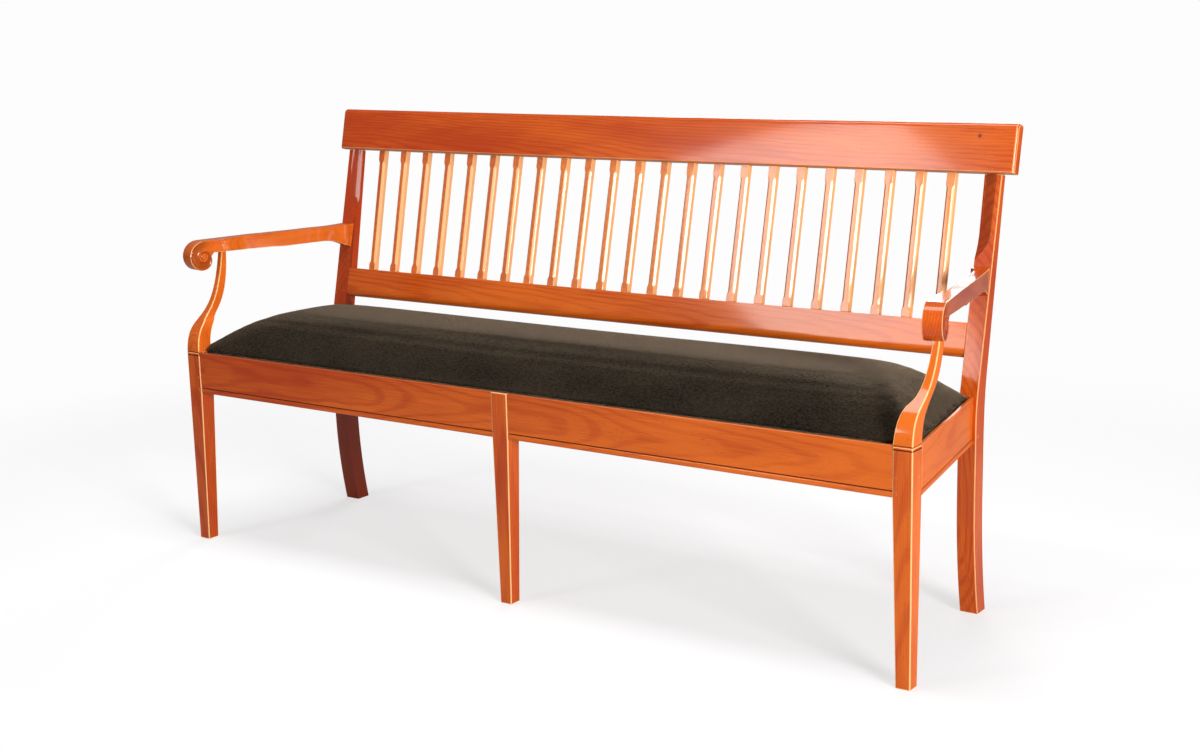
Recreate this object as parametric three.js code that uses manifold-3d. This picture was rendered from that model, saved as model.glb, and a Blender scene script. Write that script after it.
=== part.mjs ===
// A deacons bench in cherry with a drop-in velvet seat, built as its joiner would build it.
// Units are millimetres. X runs along the bench, Y from its front to its back, and Z up.
// Most pieces are made for the right half, the one at +X, and mirrored for the left.
import * as THREE from "three";
import { mergeVertices } from "three/addons/utils/BufferGeometryUtils.js";
import Module from "manifold-3d";

const wasm = await Module();
wasm.setup();

// Overall frame
const FRONT_WIDTH = 1762; // over the outer faces of the front legs
const BACK_SETIN = 59; // outer face of each back post inside that of the front leg
const BACK_WIDTH = FRONT_WIDTH - 2 * BACK_SETIN;
const SEAT_DEPTH = 398.5; // front faces of the front legs to front faces of the posts
const RAIL_TOP = 432; // of the seat rails, above the floor
const FIT = 0.3; // clearance in every joint
const OVERRUN = 12; // how far a cutter runs past what it cuts

// Front legs
const LEG_SIZE = 37.5;
const LEG_TAPER = 9; // taken off the inner and the rear face at the foot
const MIDDLE_LEG_WIDTH = 38.5;
const MIDDLE_LEG_TAPER = 5.8; // taken off each side at the foot
const SCRATCH_DEPTH = 1.5;
const SCRATCH_WIDTH = 2.4;
const SCRATCH_DROP = 7; // from the top of the leg down to the line scratched round it

// Seat rails
const RAIL_HEIGHT = 92;
const RAIL_THICKNESS = 24;
const RAIL_SETBACK = 1; // front rail behind the faces of the legs
const SIDE_RAIL_INSET = 7; // side rail's outer face inside the post's outer face
const BEAD_HEIGHT = 11;
const BEAD_ROUND = 4;
const QUIRK_WIDTH = 2.4;
const QUIRK_DEPTH = 2.2;
const RABBET_DEPTH = 14;
const RAIL_LIP = 7; // wood left outside the rabbet

// Tenons of the seat rails
const TENON_THICKNESS = 10;
const TENON_LENGTH = 18;
const TENON_SHOULDER = 8; // left off the tenon at the bottom edge
const TENON_HAUNCH = 20; // left off the tenon at the top edge
const MIDDLE_TENON_LENGTH = 15;
const BACK_TENON_LENGTH = 12;
const BACK_TENON_INSET = 3.5; // from the outer face of the back rail
const SIDE_TENON_INSET = 5; // from the outer face of the side rail, where it meets the post

// Back posts
const POST_WIDTH = 37;
const POST_DEPTH = 38; // at the seat rail
const POST_BEND_DEPTH = 36; // at the bend, square to the raked face
const POST_TOP_DEPTH = 16.5;
const FOOT_DEPTH = 36.4;
const FOOT_KICK = 24; // how far the foot runs back
const KNEE_HEIGHT = 230; // where the backward curve of the leg starts
const BEND_HEIGHT = 415; // where the upright and the raked face would meet
const BEND_RUN = 34; // length of the curve on each side of the bend
const REAR_BEND_RISE = 8; // the bend of the rear face above that of the front
const RAKE = THREE.MathUtils.degToRad(13.06);
const POST_TENON_LENGTH = 45;
const POST_TENON_THICKNESS = 8;
const POST_TENON_WIDTH = 25;
const POST_TENON_INSET = 4; // behind the front face of the post

// Hollow on the inner front corner of each post
const HOLLOW_WIDTH = 26.5;
const HOLLOW_DEPTH = 10;
const HOLLOW_TOP_DEPTH = 5;
const HOLLOW_POINT_SHARE = 0.05; // of its full size, where it starts
const HOLLOW_FOOT = 276; // up the rake from the bend to the point it starts from
const HOLLOW_TONGUE = 50; // height over which it reaches its full size
const HOLLOW_CURVE_SHARES = [0.34, 0.86]; // control point, of its width and of its depth

// Rails of the back, their heights measured up the rake from the bend
const LOWER_FOOT = 90;
const LOWER_HEIGHT = 66;
const LOWER_THICKNESS = 24;
const LOWER_ROUND_HEIGHT = 17;
const LOWER_ROUND_DEPTH = 12;
const LOWER_TENON_LENGTH = 20;
const LOWER_TENON_INSET = 8; // behind the front face of the rail
const LOWER_TENON_SHOULDER = 9;
const CREST_FOOT = 437.5;
const CREST_HEIGHT = 94.7;
const CREST_OVERHANG = 26; // past the outer face of each post
const CREST_LENGTH = BACK_WIDTH + 2 * CREST_OVERHANG;
const CREST_THICKNESS = 22;
const CREST_BOW = 14; // how far its middle lies behind its ends
const CREST_PROUD = 8; // how far its ends lie in front of the posts
const CREST_ROUND = 9; // of the front edges at its top and its ends
const CREST_CORNER = 6; // of its upper corners, seen from the front
const CREST_EASE = 2.5; // taken off its lower front edge
const CREST_STEPS = 24;
const CREST_END_SHARES = [0, 0.13, 0.5, 1]; // stations along the rounding of each end

// Slats
const SLAT_COUNT = 23;
const SLAT_WIDTH = 18;
const SLAT_DEPTH = 14;
const SLAT_INSET = 6; // behind the front face of the lower rail
const SLAT_CREST_INSET = 5; // behind the front face of the crest
const SLAT_CHAMFER = 4.6;
const SLAT_ARRIS = 0.6;
const SLAT_TOP_BLOCK = 22; // full section left at the top
const SLAT_FOOT_BLOCK = 13; // full section left at the foot
const SLAT_RUNOUT = 8; // length over which each chamfer dies out
const SLAT_TENON_LENGTH = 10;
const SLAT_TENON_WIDTH = 12;
const SLAT_TENON_DEPTH = 7;

// Arms, their lengths measured forward from the middle of the post
const ARM_TOP = 671;
const ARM_MEETING = 51.2; // below its top, where its middle line meets the face of the post
const SCROLL_BACK = 66.7; // eye of the scroll behind the faces of the legs
const SCROLL_OUTSET = 8.6; // eye of the scroll outside the outer face of the leg
const SCROLL_RADIUS = 35.5;
const SCROLL_TUCK_SHARE = 0.5; // share of the radius lost by the end of the curl
const SCROLL_TURN = 1.5 * Math.PI;
const SCROLL_STEPS = 18;
const SCROLL_LENGTH = 45; // full width kept behind the eye
const ARM_WIDTH = 35;
const ARM_WAIST = 23.5;
const ARM_THICKNESS = 28;
const ARM_BELLY = 39; // depth below the top at the middle of the arm
const ARM_ROOT = 57; // depth below the top at the post
const ARM_DIP = 9; // lowest place of the top below its front
const ARM_RISE = 2; // how far it climbs again at the post
const LEVEL_RUN = 124; // the top is level this far behind the eye of the scroll
const SEAT_RUN = 114; // and the underside this far
const ARM_BELLY_LENGTH = 150; // the underside is parallel to the floor behind this
const ARM_NECK = 66; // where the top stops sinking and the underside starts to drop
const ARM_BACK = -16; // where the blank ends, inside the post, before it is cut to the post's face
const WAIST_FROM = 62; // the waist starts this far from the post
const WAIST_RUN = 127; // and ends this far behind the eye
const SWELL_SHARE = 0.4; // how far a curve's handles reach along its run
const ARM_TENON_LENGTH = 16;
const ARM_TENON_WIDTH = 12;
const ARM_TENON_DROP = 44.6; // from the top of the arm to the foot of its tenon
const ARM_TENON_HEIGHT = 26;

// Arm supports
const SUPPORT_LEAN = 111;
const SUPPORT_TOP_WIDTH = 13;
const SUPPORT_TOP_DEPTH = 14;
// Control points of their edges: for each, its share of the sideways run and of the height
const SUPPORT_FRONT_SHARES = [0.062, 0.478, 0.732, 0.141];
const SUPPORT_REAR_SHARES = [0.02, 0.461, 0.936, 0.216];
const SUPPORT_INNER_SHARES = [0.342, 0.652, 0.968, -0.095];
const DOWEL_DIAMETER = 8;
const DOWEL_LENGTH = 14;

// Drop-in seat
const SEAT_CLEARANCE = 1.5; // round the board and the cushion
const CUSHION_NOTCH = 3.5; // clearance of the cushion round the front legs
const BOARD_THICKNESS = 12;
const CUSHION_EDGE = 2.5;
const CUSHION_CROWN = 74.5;
const CUSHION_DRAW = 2; // how far its sides pull in between their corners
const CUSHION_END_POWER = 17;
const CUSHION_FRONT_POWER = 3.75;
const CUSHION_STEPS = [30, 12]; // along X and along Y

// Bracing under the seat
const BLOCK_LEG = 74;
const BLOCK_HEIGHT = 34;
const BEARER_COUNT = 3;
const BEARER_WIDTH = 46;
const BEARER_HEIGHT = 26;
const BEARER_TENON_LENGTH = 8;
const BEARER_TENON_WIDTH = 30;
const BEARER_TENON_HEIGHT = 14;
const SCREW_INSET = 22; // of a seat screw from the corner that its block fills
const SCREW_DIAMETER = 5;
const SCREW_HEAD_DIAMETER = 9;
const SCREW_HEAD_HEIGHT = 3;
const SCREW_BITE = 8; // how far a seat screw runs into the board

// Pegs
const PEG_DIAMETER = 6;
const PEG_LENGTH = 14;
const PEG_PROUD = 0.4;
const CREST_PEG_RISE = 8; // above the lower edge of the crest
const RAIL_PEG_INSET = 10; // from the inner face of the post
const LOWER_PEG_SHARES = [0.18, 0.54]; // of the lower rail's height

// Smoothness of round stretches
const ROUND_SIDES = 12;
const CURVE_STEPS = 10;
const CORNER_STEPS = 4;

// Places worked out from the sizes above
const LEG_OUTER = FRONT_WIDTH / 2;
const LEG_INNER = LEG_OUTER - LEG_SIZE;
const MIDDLE_HALF = MIDDLE_LEG_WIDTH / 2;
const POST_OUTER = BACK_WIDTH / 2;
const POST_INNER = POST_OUTER - POST_WIDTH;
const POST_MIDDLE = POST_OUTER - POST_WIDTH / 2;
const POST_TOP = CREST_FOOT - FIT;
const RAIL_FOOT = RAIL_TOP - RAIL_HEIGHT;
const LEDGE = RAIL_TOP - RABBET_DEPTH;
const RAIL_BACK = RAIL_SETBACK + RAIL_THICKNESS;
const BACK_FACE = SEAT_DEPTH + RAIL_THICKNESS;
const SIDE_RAIL_END = POST_OUTER - SIDE_RAIL_INSET;
const SPLAY = Math.atan2(LEG_OUTER - SIDE_RAIL_END, SEAT_DEPTH - LEG_SIZE);
const LOWER_TOP = LOWER_FOOT + LOWER_HEIGHT;
const ARM_START = SEAT_DEPTH + (ARM_TOP - ARM_MEETING - BEND_HEIGHT) * Math.tan(RAKE);
const ARM_TENON_FOOT = (ARM_TOP - ARM_TENON_DROP - BEND_HEIGHT) / Math.cos(RAKE); // up the rake
const SUPPORT_TOP = ARM_TOP - ARM_THICKNESS;
const SUPPORT_REAR = SUPPORT_LEAN + SUPPORT_TOP_DEPTH;
const SUPPORT_FOOT_AT = [LEG_OUTER - LEG_SIZE / 2, LEG_SIZE / 2];
const SUPPORT_TOP_AT = [LEG_OUTER - SUPPORT_TOP_WIDTH / 2, SUPPORT_REAR - SUPPORT_TOP_DEPTH / 2];
const BOARD_TOP = LEDGE + BOARD_THICKNESS;
const SEAT_FRONT = RAIL_SETBACK + RAIL_LIP + SEAT_CLEARANCE;
const SEAT_BACK = BACK_FACE - RAIL_LIP - SEAT_CLEARANCE;

// Spots in a row, spread evenly about the middle of the bench
function spots(count, pitch) {
  return Array.from({ length: count }, (_, i) => (i - (count - 1) / 2) * pitch);
}

const SLATS = spots(SLAT_COUNT, (2 * POST_INNER) / (SLAT_COUNT + 1));
const BEARERS = spots(BEARER_COUNT, FRONT_WIDTH / (BEARER_COUNT + 1));

const X = new THREE.Vector3(1, 0, 0);
const Y = new THREE.Vector3(0, 1, 0);
const Z = new THREE.Vector3(0, 0, 1);

// Shapes and solids

// An outline in the directions u and v, run from its origin at right angles to both
function swept(shape, length, u, v, origin) {
  const settings = { depth: length, bevelEnabled: false, curveSegments: CURVE_STEPS };
  const turn = new THREE.Matrix4().makeBasis(u, v, u.clone().cross(v)).setPosition(...origin);
  return new THREE.ExtrudeGeometry(shape, settings).applyMatrix4(turn);
}

// An outline in y and z, run along X
function alongX(shape, [from, to]) {
  return swept(shape, to - from, Y, Z, [from, 0, 0]);
}

// An outline in x and z, run along Y
function alongY(shape, [from, to]) {
  return swept(shape, to - from, X, Z, [0, to, 0]);
}

// An outline in x and y, run along Z
function alongZ(shape, [from, to]) {
  return swept(shape, to - from, X, Y, [0, 0, from]);
}

function outline(points) {
  return new THREE.Shape(points.map(([u, v]) => new THREE.Vector2(u, v)));
}

function box(x, y, z) {
  const block = new THREE.BoxGeometry(x[1] - x[0], y[1] - y[0], z[1] - z[0]);
  return block.translate((x[0] + x[1]) / 2, (y[0] + y[1]) / 2, (z[0] + z[1]) / 2);
}

// An upright round rod
function rod(diameter, [x, y], [from, to]) {
  const round = new THREE.CylinderGeometry(diameter / 2, diameter / 2, to - from, ROUND_SIDES);
  return round.rotateX(Math.PI / 2).translate(x, y, (from + to) / 2);
}

function grown([from, to], by = FIT) {
  return [from - by, to + by];
}

function around(middle, width) {
  return [middle - width / 2, middle + width / 2];
}

function inOrder(a, b) {
  return [Math.min(a, b), Math.max(a, b)];
}

// A closed skin over rings of equal length, each seen anticlockwise from the last one's side
function loft(rings) {
  const count = rings[0].length;
  const last = (rings.length - 1) * count;
  const index = [];
  for (let start = 0; start < last; start += count) {
    for (let i = 0; i < count; i += 1) {
      const a = start + i;
      const b = start + ((i + 1) % count);
      index.push(a, b, b + count, a, b + count, a + count);
    }
  }
  for (let i = 0; i + 1 < count - 1 - i; i += 1) {
    const [a, b, c, d] = [i, i + 1, count - 2 - i, count - 1 - i];
    index.push(a, d, b, last + a, last + b, last + d);
    if (b < c) {
      index.push(b, d, c, last + b, last + c, last + d);
    }
  }
  const geometry = new THREE.BufferGeometry();
  geometry.setAttribute("position", new THREE.Float32BufferAttribute(rings.flat(2), 3));
  geometry.setIndex(index);
  return geometry;
}

function solidOf(geometry) {
  const plain = geometry.clone();
  plain.deleteAttribute("normal");
  plain.deleteAttribute("uv");
  const welded = mergeVertices(plain);
  const mesh = new wasm.Mesh({
    numProp: 3,
    vertProperties: new Float32Array(welded.attributes.position.array),
    triVerts: new Uint32Array(welded.index.array),
  });
  return new wasm.Manifold(mesh);
}

function geometryOf(solid) {
  const mesh = solid.getMesh();
  const geometry = new THREE.BufferGeometry();
  geometry.setAttribute("position", new THREE.Float32BufferAttribute(mesh.vertProperties, 3));
  geometry.setIndex(Array.from(mesh.triVerts));
  return geometry;
}

function cut(geometry, ...cutters) {
  return geometryOf(cutters.reduce((rest, cutter) => rest.subtract(solidOf(cutter)), solidOf(geometry)));
}

function joined(geometry, ...others) {
  return geometryOf(others.reduce((all, other) => all.add(solidOf(other)), solidOf(geometry)));
}

function common(geometry, ...others) {
  return geometryOf(others.reduce((rest, other) => rest.intersect(solidOf(other)), solidOf(geometry)));
}

// The same piece for the other side, its triangles turned so that they still face out
function mirrored(geometry) {
  const copy = geometry.index ? geometry.toNonIndexed() : geometry.clone();
  copy.scale(-1, 1, 1);
  const corners = Array.from({ length: copy.attributes.position.count }, (_, i) => i);
  copy.setIndex(corners.map((i) => i + 2 - 2 * (i % 3)));
  return copy;
}

// The frame of the back: y runs away from its front face, z up the rake from the bend
const RAKED = new THREE.Matrix4().makeRotationX(-RAKE).setPosition(0, SEAT_DEPTH, BEND_HEIGHT);

function raked(up, behind) {
  const point = new THREE.Vector3(0, behind, up).applyMatrix4(RAKED);
  return [point.y, point.z];
}

function rakedBox(x, y, z) {
  return box(x, y, z).applyMatrix4(RAKED);
}

// A rod square to the raked face
function rakedRod(diameter, x, up, [from, to]) {
  const round = new THREE.CylinderGeometry(diameter / 2, diameter / 2, to - from, ROUND_SIDES);
  return round.translate(x, (from + to) / 2, up).applyMatrix4(RAKED);
}

// Where the tenons of the seat rails lie
const TENON_Z = [RAIL_FOOT + TENON_SHOULDER, RAIL_TOP - TENON_HAUNCH];
const FRONT_TENON_Y = [RAIL_SETBACK + RAIL_LIP, RAIL_SETBACK + RAIL_LIP + TENON_THICKNESS];
const SIDE_FRONT_X = [LEG_OUTER - RAIL_LIP - TENON_THICKNESS, LEG_OUTER - RAIL_LIP];
const SIDE_BACK_EDGE = SIDE_RAIL_END - SIDE_TENON_INSET;
const SIDE_BACK_X = [SIDE_BACK_EDGE - TENON_THICKNESS, SIDE_BACK_EDGE];
const BACK_TENON_EDGE = BACK_FACE - BACK_TENON_INSET;
const BACK_TENON_Y = [BACK_TENON_EDGE - TENON_THICKNESS, BACK_TENON_EDGE];
const BEARER_TENON_Z = around(LEDGE - BEARER_HEIGHT / 2, BEARER_TENON_HEIGHT);

// Front legs

// A leg whose rear face and sides taper below the rails
function taperedLeg(width, innerTaper, outerTaper) {
  const ring = (height, inner, outer, rear) => [
    [inner, 0, height],
    [width - outer, 0, height],
    [width - outer, LEG_SIZE - rear, height],
    [inner, LEG_SIZE - rear, height],
  ];
  const foot = ring(0, innerTaper, outerTaper, LEG_TAPER);
  return loft([foot, ring(RAIL_FOOT, 0, 0, 0), ring(RAIL_TOP, 0, 0, 0)]);
}

// A line scratched across the front and the outer face of the right corner leg
function scratch(height) {
  const half = SCRATCH_WIDTH / 2;
  const notch = (face, inward) =>
    outline([
      [face - inward * OVERRUN, height - half],
      [face, height - half],
      [face + inward * SCRATCH_DEPTH, height],
      [face, height + half],
      [face - inward * OVERRUN, height + half],
    ]);
  const front = alongX(notch(0, 1), grown([LEG_INNER, LEG_OUTER], OVERRUN));
  return joined(front, alongY(notch(LEG_OUTER, -1), grown([0, LEG_SIZE], OVERRUN)));
}

function dowelHole(at, reach) {
  return rod(DOWEL_DIAMETER + 2 * FIT, at, reach);
}

function cornerLeg() {
  const leg = taperedLeg(LEG_SIZE, LEG_TAPER, 0).translate(LEG_INNER, 0, 0);
  const mortiseX = [LEG_INNER - OVERRUN, LEG_INNER + TENON_LENGTH + FIT];
  const mortiseY = [LEG_SIZE - TENON_LENGTH - FIT, LEG_SIZE + OVERRUN];
  return cut(
    leg,
    scratch(RAIL_TOP),
    scratch(RAIL_TOP - SCRATCH_DROP),
    box(mortiseX, grown(FRONT_TENON_Y), grown(TENON_Z)),
    box(grown(SIDE_FRONT_X), mortiseY, grown(TENON_Z)),
    dowelHole(SUPPORT_FOOT_AT, [RAIL_TOP - DOWEL_LENGTH - FIT, RAIL_TOP + OVERRUN]),
  );
}

function middleLeg() {
  const leg = taperedLeg(MIDDLE_LEG_WIDTH, MIDDLE_LEG_TAPER, MIDDLE_LEG_TAPER);
  const web = MIDDLE_HALF - MIDDLE_TENON_LENGTH - FIT;
  const mortise = box([web, MIDDLE_HALF + OVERRUN], grown(FRONT_TENON_Y), grown(TENON_Z));
  const rabbetX = grown([-MIDDLE_HALF, MIDDLE_HALF], OVERRUN);
  const rabbetY = [RAIL_SETBACK + RAIL_LIP, LEG_SIZE + OVERRUN];
  const behind = BEARERS.filter((x) => Math.abs(x) < MIDDLE_HALF);
  return cut(
    leg.translate(-MIDDLE_HALF, 0, 0),
    mortise,
    mirrored(mortise),
    box(rabbetX, rabbetY, [LEDGE, RAIL_TOP + OVERRUN]),
    ...behind.map((x) => bearerMortise(x, LEG_SIZE, -1)),
  );
}

// Seat rails

// Their section: the first value is the depth behind the outer face, the second the height
function railSection(beaded) {
  const shape = new THREE.Shape();
  shape.moveTo(RAIL_THICKNESS, RAIL_FOOT);
  shape.lineTo(RAIL_THICKNESS, LEDGE);
  shape.lineTo(RAIL_LIP, LEDGE);
  shape.lineTo(RAIL_LIP, RAIL_TOP);
  shape.lineTo(0, RAIL_TOP);
  if (beaded) {
    const bead = RAIL_FOOT + BEAD_HEIGHT;
    shape.lineTo(0, bead + QUIRK_WIDTH);
    shape.lineTo(QUIRK_DEPTH, bead + QUIRK_WIDTH / 2);
    shape.lineTo(BEAD_ROUND / 2, bead);
    shape.quadraticCurveTo(0, bead, 0, bead - BEAD_ROUND);
    shape.lineTo(0, RAIL_FOOT + BEAD_ROUND);
    shape.quadraticCurveTo(0, RAIL_FOOT, BEAD_ROUND, RAIL_FOOT);
  } else {
    shape.lineTo(0, RAIL_FOOT);
  }
  return shape;
}

// A mortise for a bearer in a face, cut towards the front (-1) or the back (1)
function bearerMortise(x, face, way) {
  const y = inOrder(face - way * OVERRUN, face + way * (BEARER_TENON_LENGTH + FIT));
  return box(grown(around(x, BEARER_TENON_WIDTH)), y, grown(BEARER_TENON_Z));
}

// The half of the front rail between the middle leg and the right corner leg
function frontRail() {
  const [from, to] = [MIDDLE_HALF + FIT, LEG_INNER - FIT];
  const rail = alongX(railSection(true), [from, to]).translate(0, RAIL_SETBACK, 0);
  const tenon = box([from - MIDDLE_TENON_LENGTH, to + TENON_LENGTH], FRONT_TENON_Y, TENON_Z);
  const behind = BEARERS.filter((x) => x > MIDDLE_HALF);
  return cut(joined(rail, tenon), ...behind.map((x) => bearerMortise(x, RAIL_BACK, -1)));
}

function backRail() {
  const end = POST_INNER - FIT;
  const rail = swept(railSection(false), 2 * end, Y.clone().negate(), Z, [end, BACK_FACE, 0]);
  const tenonEnd = end + BACK_TENON_LENGTH;
  const tenon = box([-tenonEnd, tenonEnd], BACK_TENON_Y, TENON_Z);
  return cut(joined(rail, tenon), ...BEARERS.map((x) => bearerMortise(x, SEAT_DEPTH, 1)));
}

function sideRail() {
  const inward = new THREE.Vector3(-Math.cos(SPLAY), -Math.sin(SPLAY), 0);
  const along = inward.clone().cross(Z);
  const length = (SEAT_DEPTH - LEG_SIZE) / Math.cos(SPLAY) + 2 * OVERRUN;
  const start = new THREE.Vector3(LEG_OUTER, LEG_SIZE, 0).addScaledVector(along, -OVERRUN);
  const rail = swept(railSection(true), length, inward, Z, start.toArray());
  const ahead = box(
    grown([LEG_INNER, LEG_OUTER], OVERRUN),
    [-OVERRUN, LEG_SIZE + FIT],
    grown([RAIL_FOOT, RAIL_TOP], OVERRUN),
  );
  const frontTenon = box(SIDE_FRONT_X, [LEG_SIZE - TENON_LENGTH, LEG_SIZE + OVERRUN], TENON_Z);
  const backTenon = box(SIDE_BACK_X, [SEAT_DEPTH - OVERRUN, SEAT_DEPTH + TENON_LENGTH], TENON_Z);
  return joined(cut(rail, ahead, postBlank(FIT, OVERRUN)), frontTenon, backTenon);
}

// Back posts

function postDepth(up) {
  return THREE.MathUtils.mapLinear(up, 0, CREST_FOOT, POST_BEND_DEPTH, POST_TOP_DEPTH);
}

// The right post's outline from the side, run along X; as a cutter it is larger in front
// and at its sides
function postBlank(forward, wider) {
  const front = SEAT_DEPTH - forward;
  const rear = SEAT_DEPTH + POST_DEPTH;
  const [bendY, bendZ] = raked(BEND_RUN, 0);
  const [topY, topZ] = raked(POST_TOP, 0);
  const shape = new THREE.Shape();
  shape.moveTo(front + FOOT_KICK, 0);
  shape.quadraticCurveTo(front, KNEE_HEIGHT / 2, front, KNEE_HEIGHT);
  shape.lineTo(front, BEND_HEIGHT - BEND_RUN);
  shape.quadraticCurveTo(front, BEND_HEIGHT, bendY - forward, bendZ);
  shape.lineTo(topY - forward, topZ);
  shape.lineTo(...raked(POST_TOP, postDepth(POST_TOP)));
  shape.lineTo(...raked(2 * BEND_RUN, postDepth(2 * BEND_RUN)));
  shape.quadraticCurveTo(rear, BEND_HEIGHT + REAR_BEND_RISE, rear, BEND_HEIGHT - 2 * BEND_RUN);
  shape.lineTo(rear, KNEE_HEIGHT);
  shape.quadraticCurveTo(rear, KNEE_HEIGHT / 2, SEAT_DEPTH + FOOT_KICK + FOOT_DEPTH, 0);
  return alongX(shape, grown([POST_INNER, POST_OUTER], wider));
}

// What the hollow takes from the right post; it starts from a point, like a lamb's tongue
function hollow() {
  const [controlWidth, controlDepth] = HOLLOW_CURVE_SHARES;
  const outside = POST_INNER - OVERRUN;
  const ring = (up, width, depth) => {
    const curve = new THREE.QuadraticBezierCurve(
      new THREE.Vector2(POST_INNER + width, 0),
      new THREE.Vector2(POST_INNER + width * controlWidth, depth * controlDepth),
      new THREE.Vector2(POST_INNER, depth),
    );
    const points = curve.getPoints(CORNER_STEPS).map((point) => [point.x, point.y, up]);
    return [[outside, -OVERRUN, up], [POST_INNER + width, -OVERRUN, up], ...points, [outside, depth, up]];
  };
  const rings = [];
  for (let step = 0; step <= CURVE_STEPS; step += 1) {
    const share = step / CURVE_STEPS;
    const size = THREE.MathUtils.lerp(HOLLOW_POINT_SHARE, 1, share * (2 - share));
    rings.push(ring(HOLLOW_FOOT + share * HOLLOW_TONGUE, HOLLOW_WIDTH * size, HOLLOW_DEPTH * size));
  }
  rings.push(ring(POST_TOP + OVERRUN, HOLLOW_WIDTH, HOLLOW_TOP_DEPTH));
  return loft(rings).applyMatrix4(RAKED);
}

// Where the tenons and pegs of the back lie, in its own frame
const POST_TENON_X = around(POST_MIDDLE, POST_TENON_WIDTH);
const POST_TENON_Y = [POST_TENON_INSET, POST_TENON_INSET + POST_TENON_THICKNESS];
const LOWER_TENON_Y = [LOWER_TENON_INSET, LOWER_TENON_INSET + TENON_THICKNESS];
const LOWER_TENON_Z = [LOWER_FOOT + LOWER_TENON_SHOULDER, LOWER_TOP - LOWER_TENON_SHOULDER];
const ARM_TENON_X = around(POST_MIDDLE, ARM_TENON_WIDTH);
const ARM_TENON_Z = [ARM_TENON_FOOT, ARM_TENON_FOOT + ARM_TENON_HEIGHT];
const CREST_PEG_FACE = crestFace(POST_MIDDLE);
const CREST_PEG_HEIGHT = CREST_FOOT + CREST_PEG_RISE;
const LOWER_PEG_X = POST_INNER + RAIL_PEG_INSET;
const LOWER_PEG_HEIGHTS = LOWER_PEG_SHARES.map((share) => LOWER_FOOT + share * LOWER_HEIGHT);

function peg(x, up, face) {
  return rakedRod(PEG_DIAMETER, x, up, [face - PEG_PROUD, face + PEG_LENGTH]);
}

function pegHole(x, up, face) {
  return rakedRod(PEG_DIAMETER + 2 * FIT, x, up, [face - OVERRUN, face + PEG_LENGTH + FIT]);
}

function lowerPegHoles() {
  return LOWER_PEG_HEIGHTS.map((up) => pegHole(LOWER_PEG_X, up, 0));
}

function post() {
  const deep = [SEAT_DEPTH - OVERRUN, SEAT_DEPTH + TENON_LENGTH + FIT];
  const sunk = (length) => [POST_INNER - OVERRUN, POST_INNER + length + FIT];
  const blank = cut(
    postBlank(0, 0),
    hollow(),
    box(grown(SIDE_BACK_X), deep, grown(TENON_Z)),
    box(sunk(BACK_TENON_LENGTH), grown(BACK_TENON_Y), grown(TENON_Z)),
    rakedBox(sunk(LOWER_TENON_LENGTH), grown(LOWER_TENON_Y), grown(LOWER_TENON_Z)),
    rakedBox(grown(ARM_TENON_X), [-OVERRUN, ARM_TENON_LENGTH + FIT], grown(ARM_TENON_Z)),
    ...lowerPegHoles(),
  );
  const tenonZ = [POST_TOP - FIT, CREST_FOOT + POST_TENON_LENGTH];
  const tenon = rakedBox(POST_TENON_X, POST_TENON_Y, tenonZ);
  return cut(joined(blank, tenon), pegHole(POST_MIDDLE, CREST_PEG_HEIGHT, CREST_PEG_FACE));
}

// Rails of the back

// Front face of the bowed crest, in the frame of the back
function crestFace(x) {
  const share = (2 * x) / CREST_LENGTH;
  return CREST_BOW * (1 - share * share) - CREST_PROUD;
}

// How far a quarter round has fallen at a distance from its end
function fallen(radius, distance) {
  const short = Math.max(radius - distance, 0);
  return radius - Math.sqrt(radius * radius - short * short);
}

function crestRing(x, fromEnd) {
  const front = crestFace(x) + fallen(CREST_ROUND, fromEnd);
  const rear = crestFace(x) + CREST_THICKNESS;
  const top = CREST_FOOT + CREST_HEIGHT - fallen(CREST_CORNER, fromEnd);
  const round = Array.from({ length: CORNER_STEPS + 1 }, (_, step) => {
    const turn = ((step / CORNER_STEPS) * Math.PI) / 2;
    return [x, front + CREST_ROUND * (1 - Math.sin(turn)), top - CREST_ROUND * (1 - Math.cos(turn))];
  });
  return [
    [x, front + CREST_EASE, CREST_FOOT],
    [x, rear, CREST_FOOT],
    [x, rear, top],
    ...round,
    [x, front, CREST_FOOT + CREST_EASE],
  ];
}

function crest() {
  const half = CREST_LENGTH / 2;
  const inner = half - CREST_ROUND;
  const ends = CREST_END_SHARES.map((share) => share * CREST_ROUND);
  const rings = ends.map((fromEnd) => crestRing(fromEnd - half, fromEnd));
  for (let step = 1; step < CREST_STEPS; step += 1) {
    rings.push(crestRing(THREE.MathUtils.lerp(-inner, inner, step / CREST_STEPS), CREST_ROUND));
  }
  rings.push(...ends.reverse().map((fromEnd) => crestRing(half - fromEnd, fromEnd)));
  const tenonZ = [CREST_FOOT - OVERRUN, CREST_FOOT + POST_TENON_LENGTH + FIT];
  const mortise = rakedBox(grown(POST_TENON_X), grown(POST_TENON_Y), tenonZ);
  const hole = pegHole(POST_MIDDLE, CREST_PEG_HEIGHT, CREST_PEG_FACE);
  return cut(
    loft(rings).applyMatrix4(RAKED),
    mortise,
    mirrored(mortise),
    hole,
    mirrored(hole),
    ...SLATS.map((x) => slatTenon(x, true, FIT)),
  );
}

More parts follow.
